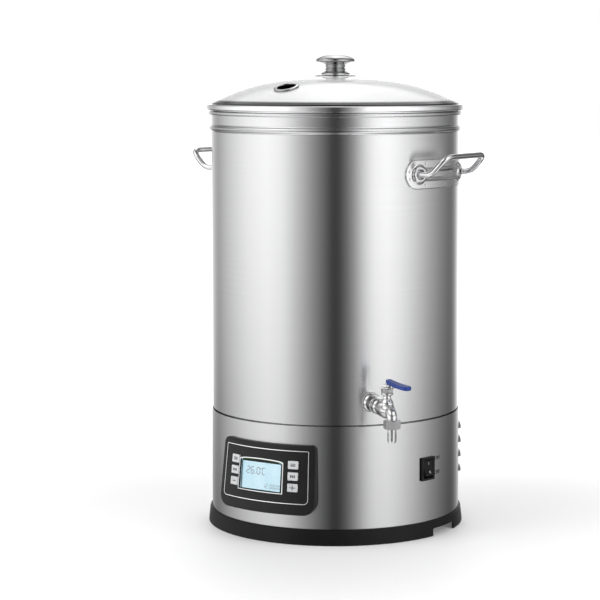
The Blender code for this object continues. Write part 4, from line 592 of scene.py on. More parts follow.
baseRing = {
    "footRadius": 0.1765,
    "topRadius": 0.1745,
    "top": 0.0207,
    "wall": 0.0035,
    "notchHalf": 0.0280,
    "notchHeight": 0.0102,
    "notchAzimuths": (90, -90),
    "spigotInset": 0.0013,
    "spigotWall": 0.0025,
    "spigotHeight": 0.0090,
    "shelfRadius": 0.1500,
    "shelfLevels": (0.0100, 0.0125),
    "screwAzimuths": (60, 180, 300),
    "screwCircle": 0.1590,
    "screwHole": 0.0023,
}


def buildBase():
    foot, top = baseRing["footRadius"], baseRing["top"]
    inner = foot - baseRing["wall"]
    spigot, high = brewer["skirtRadius"] - baseRing["spigotInset"], top + baseRing["spigotHeight"]
    within, shelf = spigot - baseRing["spigotWall"], baseRing["shelfRadius"]
    shelfLow, shelfTop = baseRing["shelfLevels"]
    profile = [(foot, 0, 0.0008), (foot - 0.0004, 0.0050), (baseRing["topRadius"], top, 0.0014), (spigot, top),
               (spigot, high), (within, high), (within, shelfTop), (shelf, shelfTop), (shelf, shelfLow),
               (inner, shelfLow), (inner, 0)]
    bm = turned(profile, 256, 4)
    for azimuth in baseRing["notchAzimuths"]:
        notch = plate((-baseRing["notchHalf"], -0.01), (baseRing["notchHalf"], baseRing["notchHeight"]),
                      (0, 0, 0.003, 0.003), 0.04, 6)
        carved(bm, moved(notch, Matrix.Translation((0, -0.155, 0)), aroundTo(azimuth)))
    for azimuth in baseRing["screwAzimuths"]:
        hole = rod(baseRing["screwHole"], 0.004, 0.03, 16)
        carved(bm, moved(hole, Matrix.Translation(pointAt(azimuth, baseRing["screwCircle"], 0))))
    finished("baseRing", bm, "brewer", ringBlack, ["base_ring"], 40)


handle = {
    "level": 0.4870,
    "plateLength": 0.1500,
    "plateHeight": 0.0390,
    "plateMetal": 0.0014,
    "ridgeHalf": 0.0090,
    "ridgeReach": 0.0038,
    "bossRadius": 0.0135,
    "bossReach": 0.0052,
    "bossHole": 0.0062,
    "rod": 0.0040,
    "spacing": 0.1060,
    "straight": 0.0190,
    "reach": 0.0410,
    "rise": 0.0235,
    "bend": 0.0170,
    "ridgeRound": 0.0030,
    "bossRound": 0.0042,
    "hollowReach": 0.0012,
    "valley": 0.55,                # how much of the ridge is left along its middle
    "weldRadius": 0.0016,
    "weldDepth": 0.0006,
    "endWelds": ((0.0065, 0.0040), (0.0072, -0.0060)),    # in from the plate's end, and up
    "bossWelds": ((0.0120, 0.0145), (0.0120, -0.0145)),   # in from the boss, and up
    "middleWelds": (0.0145, -0.0145),
}


def platePress(x, z):
    # how far the pressed plate stands off the wall
    half, radius = handle["plateLength"] / 2, handle["plateHeight"] / 2
    past = max(abs(x) - (half - radius), 0)
    edge = radius - math.hypot(past, z)
    reach = handle["plateMetal"] * smoothStep(-0.0004, 0.0012, edge)
    bossOut = brewer["wallRadius"] + handle["bossReach"]
    place = math.asin(handle["spacing"] / 2 / bossOut) * brewer["skirtRadius"]
    ridge = (1 - smoothStep(handle["ridgeHalf"] - handle["ridgeRound"], handle["ridgeHalf"], abs(z))) * (
        1 - smoothStep(place - 0.002, place + 0.004, abs(x)))
    valley = handle["valley"] + (1 - handle["valley"]) * smoothStep(0.0030, 0.0062, abs(z))
    reach = max(reach, reach + (handle["ridgeReach"] - reach) * ridge * valley)
    away = math.hypot(abs(x) - place, z)
    boss = 1 - smoothStep(handle["bossRadius"] - handle["bossRound"], handle["bossRadius"], away)
    reach = reach + (handle["bossReach"] - reach) * boss
    hollow = 1 - smoothStep(handle["bossHole"] - 0.0012, handle["bossHole"] + 0.0008, away)
    reach = reach + (handle["hollowReach"] - reach) * hollow
    welds = [(half - back, level) for back, level in handle["endWelds"]]
    welds += [(place - back, level) for back, level in handle["bossWelds"]]
    welds += [(0, level) for level in handle["middleWelds"]]
    for weldX, weldZ in welds:
        spot = math.hypot(abs(x) - weldX, z - weldZ)
        reach -= handle["weldDepth"] * (1 - smoothStep(0.0006, handle["weldRadius"], spot))
    return reach


def buildHandle(side, azimuth):
    half, radius = handle["plateLength"] / 2, handle["plateHeight"] / 2
    bm = bmesh.new()
    bmesh.ops.create_grid(bm, x_segments=300, y_segments=78, size=1)
    for vert in bm.verts:
        z = math.sin(vert.co.y * math.pi / 2) * radius
        x = vert.co.x * (half - radius + math.sqrt(max(radius * radius - z * z, 0)))
        vert.co = Vector((x, -platePress(x, z), z))
    bmesh.ops.remove_doubles(bm, verts=bm.verts, dist=1e-5)
    rims = [edge for edge in bm.edges if edge.is_boundary]
    rimWall = bmesh.ops.extrude_edge_only(bm, edges=rims)
    for item in rimWall["geom"]:
        if isinstance(item, bmesh.types.BMVert):
            item.co.y = -0.0001
    bmesh.ops.recalc_face_normals(bm, faces=bm.faces)
    if sum(face.normal.y * face.calc_area() for face in bm.faces) > 0:
        bmesh.ops.reverse_faces(bm, faces=bm.faces)
    bentRound(bm, brewer["wallRadius"] + brewer["gap"])
    moved(bm, Matrix.Translation((0, 0, handle["level"])), aroundTo(azimuth))
    finished("handlePlate" + side.title(), bm, "brewer", steelPlate, ["handle_plate_" + side],
             60)

    leg = handle["spacing"] / 2
    root = math.sqrt(brewer["wallRadius"] ** 2 - (leg - handle["rod"]) ** 2) + brewer["gap"] * 2
    grip, knee, top = root + handle["reach"], root + handle["straight"], handle["level"] + handle["rise"]
    path = softPath([(-leg, -root, handle["level"]), (-leg, -knee, handle["level"]), (-leg, -grip, top),
                     (leg, -grip, top), (leg, -knee, handle["level"]), (leg, -root, handle["level"])],
                    handle["bend"], 10)
    bm = moved(tube(path, handle["rod"], 7), aroundTo(azimuth))
    finished("handleRod" + side.title(), bm, "brewer", rodSteel, ["handle_rod_" + side], 60)


lid = {
    "glassRadius": 0.1694,
    "edgeTop": 0.5788,
    "crown": 0.0349,
    "power": 2.7,
    "thickness": 0.0040,
    "flat": 0.0310,
    "bandRadius": 0.1768,
    "bandTop": 0.5768,
    "lipRadius": 0.1660,
    "eyeletOffset": 0.1204,
    "eyeletHole": 0.0143,
    "screwHole": 0.0033,
    "lipMetal": 0.0012,
    "lipDrop": 0.0090,
}


def glassLevel(radius):
    share = max(radius - lid["flat"], 0) / (lid["glassRadius"] - lid["flat"])
    flatTop = lid["edgeTop"] + lid["crown"]
    full = flatTop - lid["crown"] * (radius / lid["glassRadius"]) ** lid["power"]
    return flatTop if radius <= lid["flat"] else full + (flatTop - full) * (1 - smoothStep(0, 0.12, share))


def buildLid():
    thick = lid["thickness"]
    radii = [lid["glassRadius"] * share / 40 for share in range(41)]
    outer = [(radius, glassLevel(radius)) for radius in radii]
    inner = [(radius, level - thick) for radius, level in outer]
    bm = turned(inner + outer[::-1], 192)
    slope = math.atan(lid["crown"] * lid["power"] / lid["glassRadius"]
                      * (lid["eyeletOffset"] / lid["glassRadius"]) ** (lid["power"] - 1))
    onGlass = (Matrix.Translation((0, -lid["eyeletOffset"], glassLevel(lid["eyeletOffset"])))
               @ Matrix.Rotation(slope, 4, "X"))
    carved(bm, moved(rod(lid["eyeletHole"], -0.02, 0.02, 64), onGlass), rod(lid["screwHole"], 0.58, 0.63, 32))
    finished("lidDome", bm, "lid", lidGlass, ["lid_glass"], 50)

    rim, radius, top = brewer["rimTop"], lid["bandRadius"], lid["bandTop"]
    wall, seat = lid["glassRadius"] + brewer["gap"], lid["edgeTop"] - thick - brewer["gap"]
    lip, lipLow = lid["lipRadius"], rim - lid["lipDrop"]
    profile = [(radius - 0.0016, rim + 0.0011, 0.0005), (radius, rim + 0.0022, 0.0009),
               (radius, top - 0.0008, 0.0012),
               (radius - 0.0012, top, 0.0008), (wall, top + 0.0002, 0.0004), (wall, seat),
               (lip - lid["lipMetal"], seat), (lip - lid["lipMetal"], lipLow, 0.0004), (lip, lipLow, 0.0004),
               (lip, rim + 0.0011)]
    finished("lidBand", turned(profile, 256, 4), "lid", mirrorSteel, ["lid_band"], 40)

    profile = [(0.0125, -0.0064), (0.0165, -0.0064), (0.0165, -0.0049), (0.0140, -0.0049), (0.0140, 0.0006),
               (0.0170, 0.0006, 0.0003), (0.0168, 0.0016, 0.0006), (0.0140, 0.0023, 0.0009),
               (0.0125, 0.0021, 0.0008)]
    finished("lidEyelet", moved(turned(profile, 72, 4), onGlass), "lid", knobSteel,
             ["lid_eyelet"], 40)


knob = {
    "capRadius": 0.0270,
    "neckRadius": 0.0135,
    "footRadius": 0.0200,
    "height": 0.0270,
    "flangeRadius": 0.0290,
    "flangeHeight": 0.0025,
    # out from the neck, level and roundness of each turned ring
    "rings": ((0.0024, 0.0036, 0.0012), (-0.0006, 0.0054, 0.0009), (0.0010, 0.0072, 0.0008),
              (-0.0012, 0.0091, 0.0009), (0.0006, 0.0110, 0.0008), (-0.0006, 0.0128, 0.0009),
              (0.0026, 0.0146, 0.0018)),
    # out from the cap's edge, level and roundness
    "capRim": ((-0.0060, 0.0160, 0.0020), (-0.0010, 0.0172, 0.0009), (0.0002, 0.0190, 0.0010),
               (-0.0012, 0.0212, 0.0014)),
    "holeDepth": 0.0150,
}


def buildKnob():
    base, hole = lid["edgeTop"] + lid["crown"] + brewer["gap"], lid["screwHole"]
    edge, flat = knob["flangeRadius"], base + knob["flangeHeight"]
    flange = [(hole, base), (edge, base, 0.0004), (edge, base + 0.0009, 0.0005),
              (edge - 0.0035, base + 0.0022, 0.0014),
              (knob["footRadius"], flat), (hole, flat)]
    finished("knobFlange", turned(flange, 96, 4), "lid", knobSteel, ["knob_flange"], 40)
    low = flat + brewer["gap"]
    neck, cap, foot, top = knob["neckRadius"], knob["capRadius"], knob["footRadius"], low + knob["height"]
    profile = [(hole, low), (foot, low, 0.0006), (foot - 0.0006, low + 0.0018, 0.0008)]
    profile += [(neck + out, low + level, roundness) for out, level, roundness in knob["rings"]]
    profile += [(cap + out, low + level, roundness) for out, level, roundness in knob["capRim"]]
    profile += [(cap * 0.72, top - 0.0020, 0.0060), (cap * 0.34, top - 0.0003, 0.0060), (0, top),
                (0, low + knob["holeDepth"]), (hole, low + knob["holeDepth"])]
    finished("knobBody", turned(profile, 96, 4), "lid", knobSteel, ["lid_knob"], 40)


panel = {
    "halfAngle": 24.5,
    "bottom": 0.0415,
    "top": 0.1335,
    "topReach": 0.0062,
    "bottomReach": 0.0162,
    "corners": (0.0170, 0.0170, 0.0070, 0.0070),
    "border": 0.0030,
    "wall": 0.0025,
    "buttonAzimuth": 14.6,
    "buttonLevels": (0.1078, 0.0929, 0.0780),
    "buttonSize": (0.0142, 0.0108),
    "displayAzimuth": -1.0,
    "displayWidth": 0.0650,
    "displayBottom": 0.0695,
    "displayHeight": 0.0390,
    "displayArch": 0.0035,
    "displayRim": 0.0012,
    "inlayMargin": (0.0095, 0.0150, 0.0070),   # in from the panel's sides, bottom and top
    "inlayWidth": 0.0009,
}


def faceReach(level):
    share = (panel["top"] - level) / (panel["top"] - panel["bottom"])
    return panel["topReach"] + (panel["bottomReach"] - panel["topReach"]) * share


def onFace(bm, lift=0.0):
    # leans a flat shape, made with its back at y = 0, onto the panel's face and bends it round
    for vert in bm.verts:
        vert.co.y -= faceReach(vert.co.z) + lift
    return bentRound(bm, brewer["skirtRadius"])


def archOutline(half, low, shoulder, steps=24):
    turns = [math.pi * step / steps for step in range(steps + 1)]
    arch = [(half * math.cos(turn), shoulder + panel["displayArch"] * math.sin(turn)) for turn in turns]
    return [(-half, low), (half, low)] + arch


def displayOutline(grow):
    shift = math.radians(panel["displayAzimuth"]) * brewer["skirtRadius"]
    outline = archOutline(panel["displayWidth"] / 2 + grow, -grow, panel["displayHeight"] + grow)
    return [(x + shift, z + panel["displayBottom"]) for x, z in outline]


def inlayPlate(half, within, depth):
    sides, bottom, top = (margin + within for margin in panel["inlayMargin"])
    return plate((-half + sides, panel["bottom"] + bottom), (half - sides, panel["top"] - top),
                 (0.0060 - within, 0.0060 - within, 0.0015 - within, 0.0015 - within), depth, 8)


def buildPanel():
    half = math.radians(panel["halfAngle"]) * brewer["skirtRadius"]
    bm = plate((-half, panel["bottom"]), (half, panel["top"]), panel["corners"], 1.0, 10)
    inner = plate((-half + panel["wall"], panel["bottom"] + panel["wall"]),
                  (half - panel["wall"], panel["top"] - panel["wall"]),
                  [corner - panel["wall"] for corner in panel["corners"]], 1.0, 8)
    for shape, back, thinner in ((bm, -0.0003, 0.0), (inner, 0.002, panel["wall"])):
        for vert in shape.verts:
            vert.co.y = -(faceReach(vert.co.z) - thinner) if vert.co.y < -0.5 else back
    softened(bm, panel["border"], 6, 40, lambda edge: all(
        vert.co.y < -0.003 and abs(vert.co.y + faceReach(vert.co.z)) < 1e-6 for vert in edge.verts))
    tools = [inner, moved(outlinePlate(displayOutline(0.0), 0.03), Matrix.Translation((0, 0.005, 0)))]
    wide, tall = (size / 2 + brewer["gap"] for size in panel["buttonSize"])
    for sign in (-1, 1):
        for level in panel["buttonLevels"]:
            middle = sign * math.radians(panel["buttonAzimuth"]) * brewer["skirtRadius"]
            tools.append(moved(plate((middle - wide, level - tall), (middle + wide, level + tall), [0.0013] * 4,
                                     0.03, 4), Matrix.Translation((0, 0.005, 0))))
    carved(bm, *tools)
    sliced(bm, 0, -half, half, 48)
    bentRound(bm, brewer["skirtRadius"])
    finished("panelBezel", bm, "brewer", panelBlack, ["panel_bezel"], 30)

    inlay, hole = (inlayPlate(half, grow, depth) for grow, depth in ((0, 0.0003), (panel["inlayWidth"], 0.003)))
    carved(inlay, moved(hole, Matrix.Translation((0, 0.001, 0))))
    sliced(inlay, 0, -half, half, 48)
    finished("panelInlay", onFace(inlay, 0.0001), "brewer", inlaySilver)

    ringOut, ringIn = outlinePlate(displayOutline(panel["displayRim"]),
                                   0.0045), outlinePlate(displayOutline(0.0), 0.02)
    softened(ringOut, 0.0006, 3, 40)
    carved(ringOut, moved(ringIn, Matrix.Translation((0, 0.01, 0))))
    sliced(ringOut, 0, -half, half, 48)
    finished("displayFrame", onFace(ringOut, -0.0035), "brewer", mirrorSteel,
             ["display_frame"], 35)
    buildDisplay()
    for side, sign in (("left", -1), ("right", 1)):
        for name, level in zip(("top", "middle", "bottom"), panel["buttonLevels"]):
            buildButton(side, name, sign * panel["buttonAzimuth"], level)


def leaningAt(azimuth, level):
    # where something stands on the panel's leaning face
    lean = math.atan2(panel["bottomReach"] - panel["topReach"], panel["top"] - panel["bottom"])
    place = pointAt(azimuth, brewer["skirtRadius"] + faceReach(level), level)
    return Matrix.Translation(place) @ aroundTo(azimuth) @ Matrix.Rotation(-lean, 4, "X")


def onDisplay(bm):
    return moved(bm, leaningAt(panel["displayAzimuth"], panel["displayBottom"]))


segmentTable = {"0": "abcdef", "1": "bc", "2": "abged", "6": "afgedc", "C": "afed"}


def segmentDigit(digit, height):
    # one display digit from straight bars, its lower left corner at the origin
    width, bar = height * 0.54, height * 0.15
    spots = {"a": (0, 1, 1), "g": (0, 0.5, 1), "d": (0, 0, 1), "f": (0, 0.5, 0), "b": (1, 0.5, 0),
             "e": (0, 0, 0),
             "c": (1, 0, 0)}
    bars = []
    for segment in segmentTable[digit]:
        x, z, flat = spots[segment]
        size = (width - bar, bar) if flat else (bar, height / 2 - bar)
        low = (x * width + (bar / 2 if flat else -bar / 2), z * height + (-bar / 2 if flat else bar / 2))
        bars.append(block((low[0], -0.00010, low[1]), (low[0] + size[0], 0, low[1] + size[1])))
    return merged(*bars)


display = {
    "sink": 0.0045,                # how far the window's front lies behind the panel's face
    "windowDepth": 0.0020,
    "screenDepth": 0.0070,
    "side": 0.0006,
    "maskSide": 0.0004,
    "maskDepth": 0.0006,
    "lift": 0.00010,               # how far the digits stand off the screen
    # text, height, in from the left, level
    "numbers": (("260", 0.0088, 0.0075, 0.0215), ("C", 0.0088, 0.0325, 0.0215), ("12", 0.0052, 0.0350, 0.0045),
                ("0000", 0.0052, 0.0460, 0.0045)),
    "dots": ((0.0205, 0.0211), (0.0300, 0.0290)),
    "dotSize": 0.0012,
    "pitch": 0.78,
    "pointRoom": 0.30,             # extra room before the last digit, where the decimal point stands
}


def buildDisplay():
    half, high, side = panel["displayWidth"] / 2, panel["displayHeight"], display["side"]
    front = display["sink"]
    behind = front + display["windowDepth"] + brewer["gap"]
    window = block((-half + side, front, side),
                   (half - side, front + display["windowDepth"], high - brewer["gap"]))
    finished("displayWindow", onDisplay(softened(window, 0.0002, 2)), "brewer", windowGlass,
             ["display_window"])
    lit = block((-half + side, behind, 0.0008), (half - side, behind + display["screenDepth"], high - side))
    finished("displayScreen", onDisplay(softened(lit, 0.0003, 2)), "brewer", screen,
             ["display_module"])
    mask = outlinePlate(archOutline(half - display["maskSide"], 0.0005, high + 0.0022 - panel["displayArch"]),
                        display["maskDepth"])
    hole = plate((-half + 0.0012, 0.0014), (half - 0.0012, high - 0.0012), [0.0010] * 4, 0.01, 5)
    carved(mask, moved(hole, Matrix.Translation((0, 0.005, 0))))
    finished("displayMask", onDisplay(moved(mask, Matrix.Translation((0, front - brewer["gap"], 0)))), "brewer",
             panelBlack)
    digits, back = [], behind - display["lift"] / 2
    for text, height, left, level in display["numbers"]:
        for index, digit in enumerate(text):
            shift = -half + left + index * height * display["pitch"]
            if text == "260" and index == 2:
                shift += height * display["pointRoom"]
            digits.append(moved(segmentDigit(digit, height), Matrix.Translation((shift, back, level))))
    size = display["dotSize"]
    for left, level in display["dots"]:
        x = left - half
        digits.append(block((x, back, level), (x + size, back + display["lift"], level + size)))
    finished("displayDigits", onDisplay(merged(*digits)), "brewer", digitGrey)


def glyph(side, name):
    # the small dark sign on a button, as flat bars of left, low, right and high
    bars = [(-0.0034, -0.0016, -0.0016, 0.0016), (-0.0007, -0.0016, 0.0009, 0.0016),
            (0.0018, -0.0016, 0.0034, 0.0016)]
    if (side, name) == ("right", "bottom"):
        bars = [(-0.0038, -0.0005, 0.0038, 0.0005), (-0.0005, -0.0033, 0.0005, 0.0033)]
    elif (side, name) == ("left", "bottom"):
        bars = [(-0.0030, -0.0005, 0.0030, 0.0005)]
    elif name == "top":
        bars = [(-0.0034, level - 0.0004, 0.0034, level + 0.0004) for level in (-0.0014, 0, 0.0014)]
    return [block((left, 0, low), (right, 0.0004, high)) for left, low, right, high in bars]


def buildButton(side, name, azimuth, level):
    width, height = panel["buttonSize"]
    cap = plate((-width / 2, -height / 2), (width / 2, height / 2), [0.0012] * 4, 0.0046, 4)
    softened(cap, 0.0005, 3, 40, lambda edge: all(vert.co.y < -0.004 for vert in edge.verts))
    moved(cap, Matrix.Translation((0, 0.0032, 0)))
    signs = merged(*[moved(sign, Matrix.Translation((0, -0.0015, 0))) for sign in glyph(side, name)])
    for face in signs.faces:
        face.material_index = 1
    button = "button_" + side + "_" + name
    finished("key" + side.title() + name.title(), moved(merged(cap, signs), leaningAt(azimuth, level)), button,
             [keyGrey, markGrey], [button], 40)


switch = {
    "level": 0.0929,
    "width": 0.0255,
    "height": 0.0315,
    "flange": 0.0020,
    "wellWidth": 0.0185,
    "wellHeight": 0.0255,
    "rockerWidth": 0.0176,
    "halfLength": 0.0108,
    "valley": 0.0055,
    "swing": 24.0,
    "bodyHalf": (0.0105, 0.0135),
    "bodyDepth": 0.0205,
    "wellDepth": 0.0105,
    "markPlace": 0.55,             # how far out along the rocker its marks stand
    # name, word, height above the switch's middle
    "words": (("markOn", "ON", 0.0118), ("markOff", "OFF", -0.0078)),
    "wordHeight": 0.0052,
    "wordAlong": 0.0215,
}


def onWall(azimuth, level, radius=0):
    return Matrix.Translation((0, 0, level)) @ aroundTo(azimuth) @ Matrix.Translation((0, -radius, 0))


def buildSwitch():
    back = brewer["skirtRadius"] + brewer["gap"]
    width, height = switch["width"] / 2, switch["height"] / 2
    place = onWall(brewer["switchAzimuth"], switch["level"], back)
    frameShape = plate((-width, -height), (width, height), [0.0012] * 4, switch["flange"] + 0.0004, 4)
    softened(frameShape, 0.0007, 4, 40, lambda edge: all(vert.co.y < -0.002 for vert in edge.verts))
    bodyX, bodyZ = switch["bodyHalf"]
    body = block((-bodyX, -0.001, -bodyZ), (bodyX, switch["bodyDepth"], bodyZ))
    carved(frameShape, body, operation="UNION")
    wellX, wellZ = switch["wellWidth"] / 2, switch["wellHeight"] / 2
    carved(frameShape, block((-wellX, -0.01, -wellZ), (wellX, switch["wellDepth"], wellZ)))
    finished("switchFrame", moved(frameShape, place), "brewer", glossBlack, ["switch_housing"],
             35)

    half, valley = switch["halfLength"], switch["valley"]
    end = valley + half * math.tan(math.radians(switch["swing"] / 2))
    side = [(0.004, -0.005), (0.0, -0.0085), (-end + 0.0012, -half), (-end, -half + 0.0012), (-valley, 0.0),
            (-end, half - 0.0012), (-end + 0.0012, half), (0.0, 0.0085), (0.004, 0.005)]
    rocker = bmesh.new()
    rocker.faces.new([rocker.verts.new((-switch["rockerWidth"] / 2, y, z)) for y, z in side])
    grown = bmesh.ops.extrude_face_region(rocker, geom=rocker.faces[:], use_keep_orig=True)
    fresh = [item for item in grown["geom"] if isinstance(item, bmesh.types.BMVert)]
    bmesh.ops.translate(rocker, vec=(switch["rockerWidth"], 0, 0), verts=fresh)
    bmesh.ops.recalc_face_normals(rocker, faces=rocker.faces)
    softened(rocker, 0.0005, 3, 25)
    faceLean = math.radians(switch["swing"] / 2)
    bar = block((-0.0003, -0.0004, -0.0019), (0.0003, 0.0004, 0.0019))
    loop = turned([(0.0012, -0.0004), (0.0018, -0.0004), (0.0018, 0.0004), (0.0012, 0.0004)], 32)
    moved(loop, Matrix.Rotation(math.radians(90), 4, "X"))
    away = half * switch["markPlace"]
    depth = valley + away * math.tan(faceLean)
    signs = merged(*[moved(mark, Matrix.Rotation(sign * faceLean, 4, "X"),
                           Matrix.Translation((0, -depth, sign * away)))
                     for mark, sign in ((bar, 1), (loop, -1))])
    for face in signs.faces:
        face.material_index = 1
    pivot = onWall(brewer["switchAzimuth"], switch["level"], back + switch["flange"] - valley + brewer["gap"])
    moved(merged(rocker, signs), pivot @ Matrix.Rotation(-faceLean, 4, "X"))
    finished("switchRocker", rocker, "rocker", [glossBlack, markPale], ["switch_rocker"], 40)

    for name, text, lift in switch["words"]:
        word = moved(lettered(text, switch["wordHeight"], 0.0003),
                     Matrix.Translation((switch["wordAlong"], -0.0002, switch["level"] + lift)))
        sliced(word, 0, 0.012, 0.032, 8)
        finished(name, moved(bentRound(word, brewer["skirtRadius"]), aroundTo(brewer["switchAzimuth"])),
                 "brewer",
                 markGrey, (), 30, False)


inlet = {
    "level": 0.0600,
    "width": 0.0300,
    "height": 0.0240,
    "flange": 0.0080,
    "wellWidth": 0.0240,
    "wellHeight": 0.0165,
    "wellCorner": 0.0045,
    "wellBack": 0.0135,
    "bodyHalf": (0.0135, 0.0100),
    "bodyDepth": 0.0195,
    "pins": ((0, 0.0035), (-0.0070, -0.0020), (0.0070, -0.0020)),
    "pinHalf": (0.0010, 0.0025),
    "pinRun": (-0.0005, 0.0140),
}


def buildInlet():
    back = brewer["skirtRadius"] + brewer["gap"]
    width, height, face = inlet["width"] / 2, inlet["height"] / 2, inlet["flange"]
    shape = plate((-width, -height), (width, height), [0.0030] * 4, face, 6)
    softened(shape, 0.0008, 4, 40, lambda edge: all(vert.co.y < -face + 0.0001 for vert in edge.verts))
    bodyX, bodyZ = inlet["bodyHalf"]
    carved(shape, block((-bodyX, -0.001, -bodyZ), (bodyX, inlet["bodyDepth"], bodyZ)), operation="UNION")
    wide, tall, corner = inlet["wellWidth"] / 2, inlet["wellHeight"] / 2, inlet["wellCorner"]
    outline = [(-wide, -tall), (wide, -tall), (wide, tall - corner), (wide - corner, tall),
               (-wide + corner, tall),
               (-wide, tall - corner)]
    carved(shape, moved(outlinePlate(outline, 0.03), Matrix.Translation((0, inlet["wellBack"], 0))))
    finished("mainsInlet", moved(shape, onWall(180, inlet["level"], back)), "brewer",
             glossBlack,
             ["mains_inlet"], 35)
    (pinX, pinZ), (pinTip, pinRoot) = inlet["pinHalf"], inlet["pinRun"]
    pins = merged(*[softened(block((x - pinX, pinTip, z - pinZ), (x + pinX, pinRoot, z + pinZ)), 0.0003, 2)
                    for x, z in inlet["pins"]])
    finished("mainsPins", moved(pins, onWall(180, inlet["level"], back)), "brewer",
             mirrorSteel)


tap = {
    "level": 0.1902,
    "flange": 0.0125,
    "collar": 0.0115,
    "body": 0.0105,
    "bodyStart": 0.2000,
    "stem": 0.2385,
    "spout": 0.2595,
    "spoutRadius": 0.0066,
    "elbowRadius": 0.0150,
    "spoutEnd": 0.1760,
    "neck": 0.0049,
    "neckTop": 0.2135,
    "packingFlats": 0.0140,
    "packingHeight": 0.0050,
    "nutFlats": 0.0196,
    "nutTop": 0.1815,
    "nutBottom": 0.1700,
    "barbEnd": 0.1520,
    "barbRadius": 0.0055,
    "bore": 0.0038,
    "restAngle": 34.0,
    "leverLength": 0.0370,
    "leverRise": 0.0080,
    "leverDrop": 0.0070,
    "sleeveWidth": 0.0142,
    "sleeveDepth": 0.0052,
    "sleevePinch": 0.80,           # how wide the sleeve is at its root, as a share of its tip
    "sleeveBow": 0.0012,
    "sealRadii": (0.0103, 0.0130),
    "sealDepth": 0.0020,
    "shankStart": 0.1570,
    "shankRadius": 0.0100,
    "bonnetRadii": (0.0084, 0.0080),
    "webTop": 0.1729,
    "barbPitch": 0.0046,
    "barbStep": 0.0007,
    "barbTop": (0.1732, 0.1757),
    "strapHalf": (0.0040, 0.0007),
    "hubHalf": 0.0070,
    "hubMetal": 0.0014,
    "leverNutFlats": 0.0115,
    "leverNutHeight": 0.0034,
    "stemRadius": 0.0028,
    "stemBottom": 0.1970,
}


def outwards(bm):
    # lays a shape turned about the upright axis along the tap's own line, its levels becoming distances
    return moved(bm, Matrix.Rotation(math.radians(90), 4, "X"), Matrix.Translation((0, 0, tap["level"])))


def atTap(bm, distance=0):
    return moved(bm, Matrix.Translation((0, -distance, 0)), aroundTo(brewer["tapAzimuth"]))


def buildTap():
    start = brewer["wallRadius"] + brewer["gap"]
    (hole, edge), sealEnd = tap["sealRadii"], start + tap["sealDepth"]
    seal = turned([(hole, start), (edge, start, 0.0005), (edge, sealEnd, 0.0005), (hole, sealEnd)], 64)
    finished("tapSeal", atTap(outwards(seal)), "brewer", siliconeGrey, ["tap_outer_seal"], 40)
    face, collar, body = sealEnd + brewer["gap"], tap["collar"], tap["bodyStart"]
    root, thread = tap["shankStart"], tap["shankRadius"]
    shank = [(tap["bore"], root), (thread, root, 0.0006), (thread, face), (tap["flange"], face, 0.0006),
             (tap["flange"], face + 0.0040, 0.0012), (0.0104, face + 0.0062, 0.0010),
             (0.0104, face + 0.0094, 0.0006),
             (collar, face + 0.0112, 0.0008), (collar, body - 0.0010, 0.0008), (0.0068, body - 0.0003),
             (tap["bore"], body - 0.0003)]
    finished("tapShank", atTap(outwards(turned(shank, 96, 4))), "brewer", castSteel,
             ["tap_shank"], 40)

    radius, stem = tap["body"], tap["stem"]
    barrel = [(0, body), (radius - 0.0014, body, 0.0005), (radius, body + 0.0026, 0.0010),
              (radius, body + 0.0098, 0.0012), (radius - 0.0018, body + 0.0122, 0.0010),
              (radius - 0.0018, body + 0.0196, 0.0012), (radius + 0.0002, body + 0.0240, 0.0016),
              (radius, stem + 0.0040, 0.0030), (tap["spoutRadius"] + 0.0006, stem + 0.0105, 0.0030),
              (tap["spoutRadius"] - 0.0010, stem + 0.0135), (0, stem + 0.0135)]
    elbow = [(0, -stem, tap["level"]), (0, -tap["spout"], tap["level"]), (0, -tap["spout"], tap["spoutEnd"])]
    spout = tube(softPath(elbow, tap["elbowRadius"], 20), tap["spoutRadius"], 12)
    level, neckTop, (foot, cap) = tap["level"], tap["neckTop"], tap["bonnetRadii"]
    bonnet = [(0, level), (foot, level), (foot, level + 0.0110, 0.0020),
              (tap["neck"] + 0.0004, level + 0.0150, 0.0020),
              (tap["neck"], neckTop - 0.0044, 0.0008), (cap, neckTop - 0.0022, 0.0008), (cap, neckTop, 0.0005),
              (0, neckTop)]
    lug = softened(block((-0.0120, -0.0030, level + 0.0040), (-0.0060, 0.0030, level + 0.0100)), 0.0012, 4)
    casting = merged(outwards(turned(barrel, 96, 4)), spout,
                     moved(merged(turned(bonnet, 72, 4), lug), Matrix.Translation((0, -stem, 0))))
    finished("tapBody", atTap(casting), "brewer", castSteel, ["tap_body"], 40)

    nutLow = tap["neckTop"] + brewer["gap"]
    packing = hexagonal(tap["packingFlats"], 0.0031, nutLow, nutLow + tap["packingHeight"], 0.0010)
    finished("packingNut", atTap(packing, tap["stem"]), "brewer", castSteel,
             ["tap_packing_nut"], 30)
    hose = hexagonal(tap["nutFlats"], tap["spoutRadius"] + brewer["gap"], tap["nutBottom"], tap["nutTop"],
                     0.0012)
    inner, outer = tap["barbRadius"] + brewer["gap"], tap["spoutRadius"] + 0.001
    webLow = tap["nutBottom"] + 0.0002
    web = turned([(inner, webLow), (outer, webLow), (outer, tap["webTop"]), (inner, tap["webTop"])], 48)
    carved(hose, web, operation="UNION")
    finished("hoseNut", atTap(hose, tap["spout"]), "brewer", castSteel, ["hose_nut"], 30)
    buildBarb()
    buildLever()


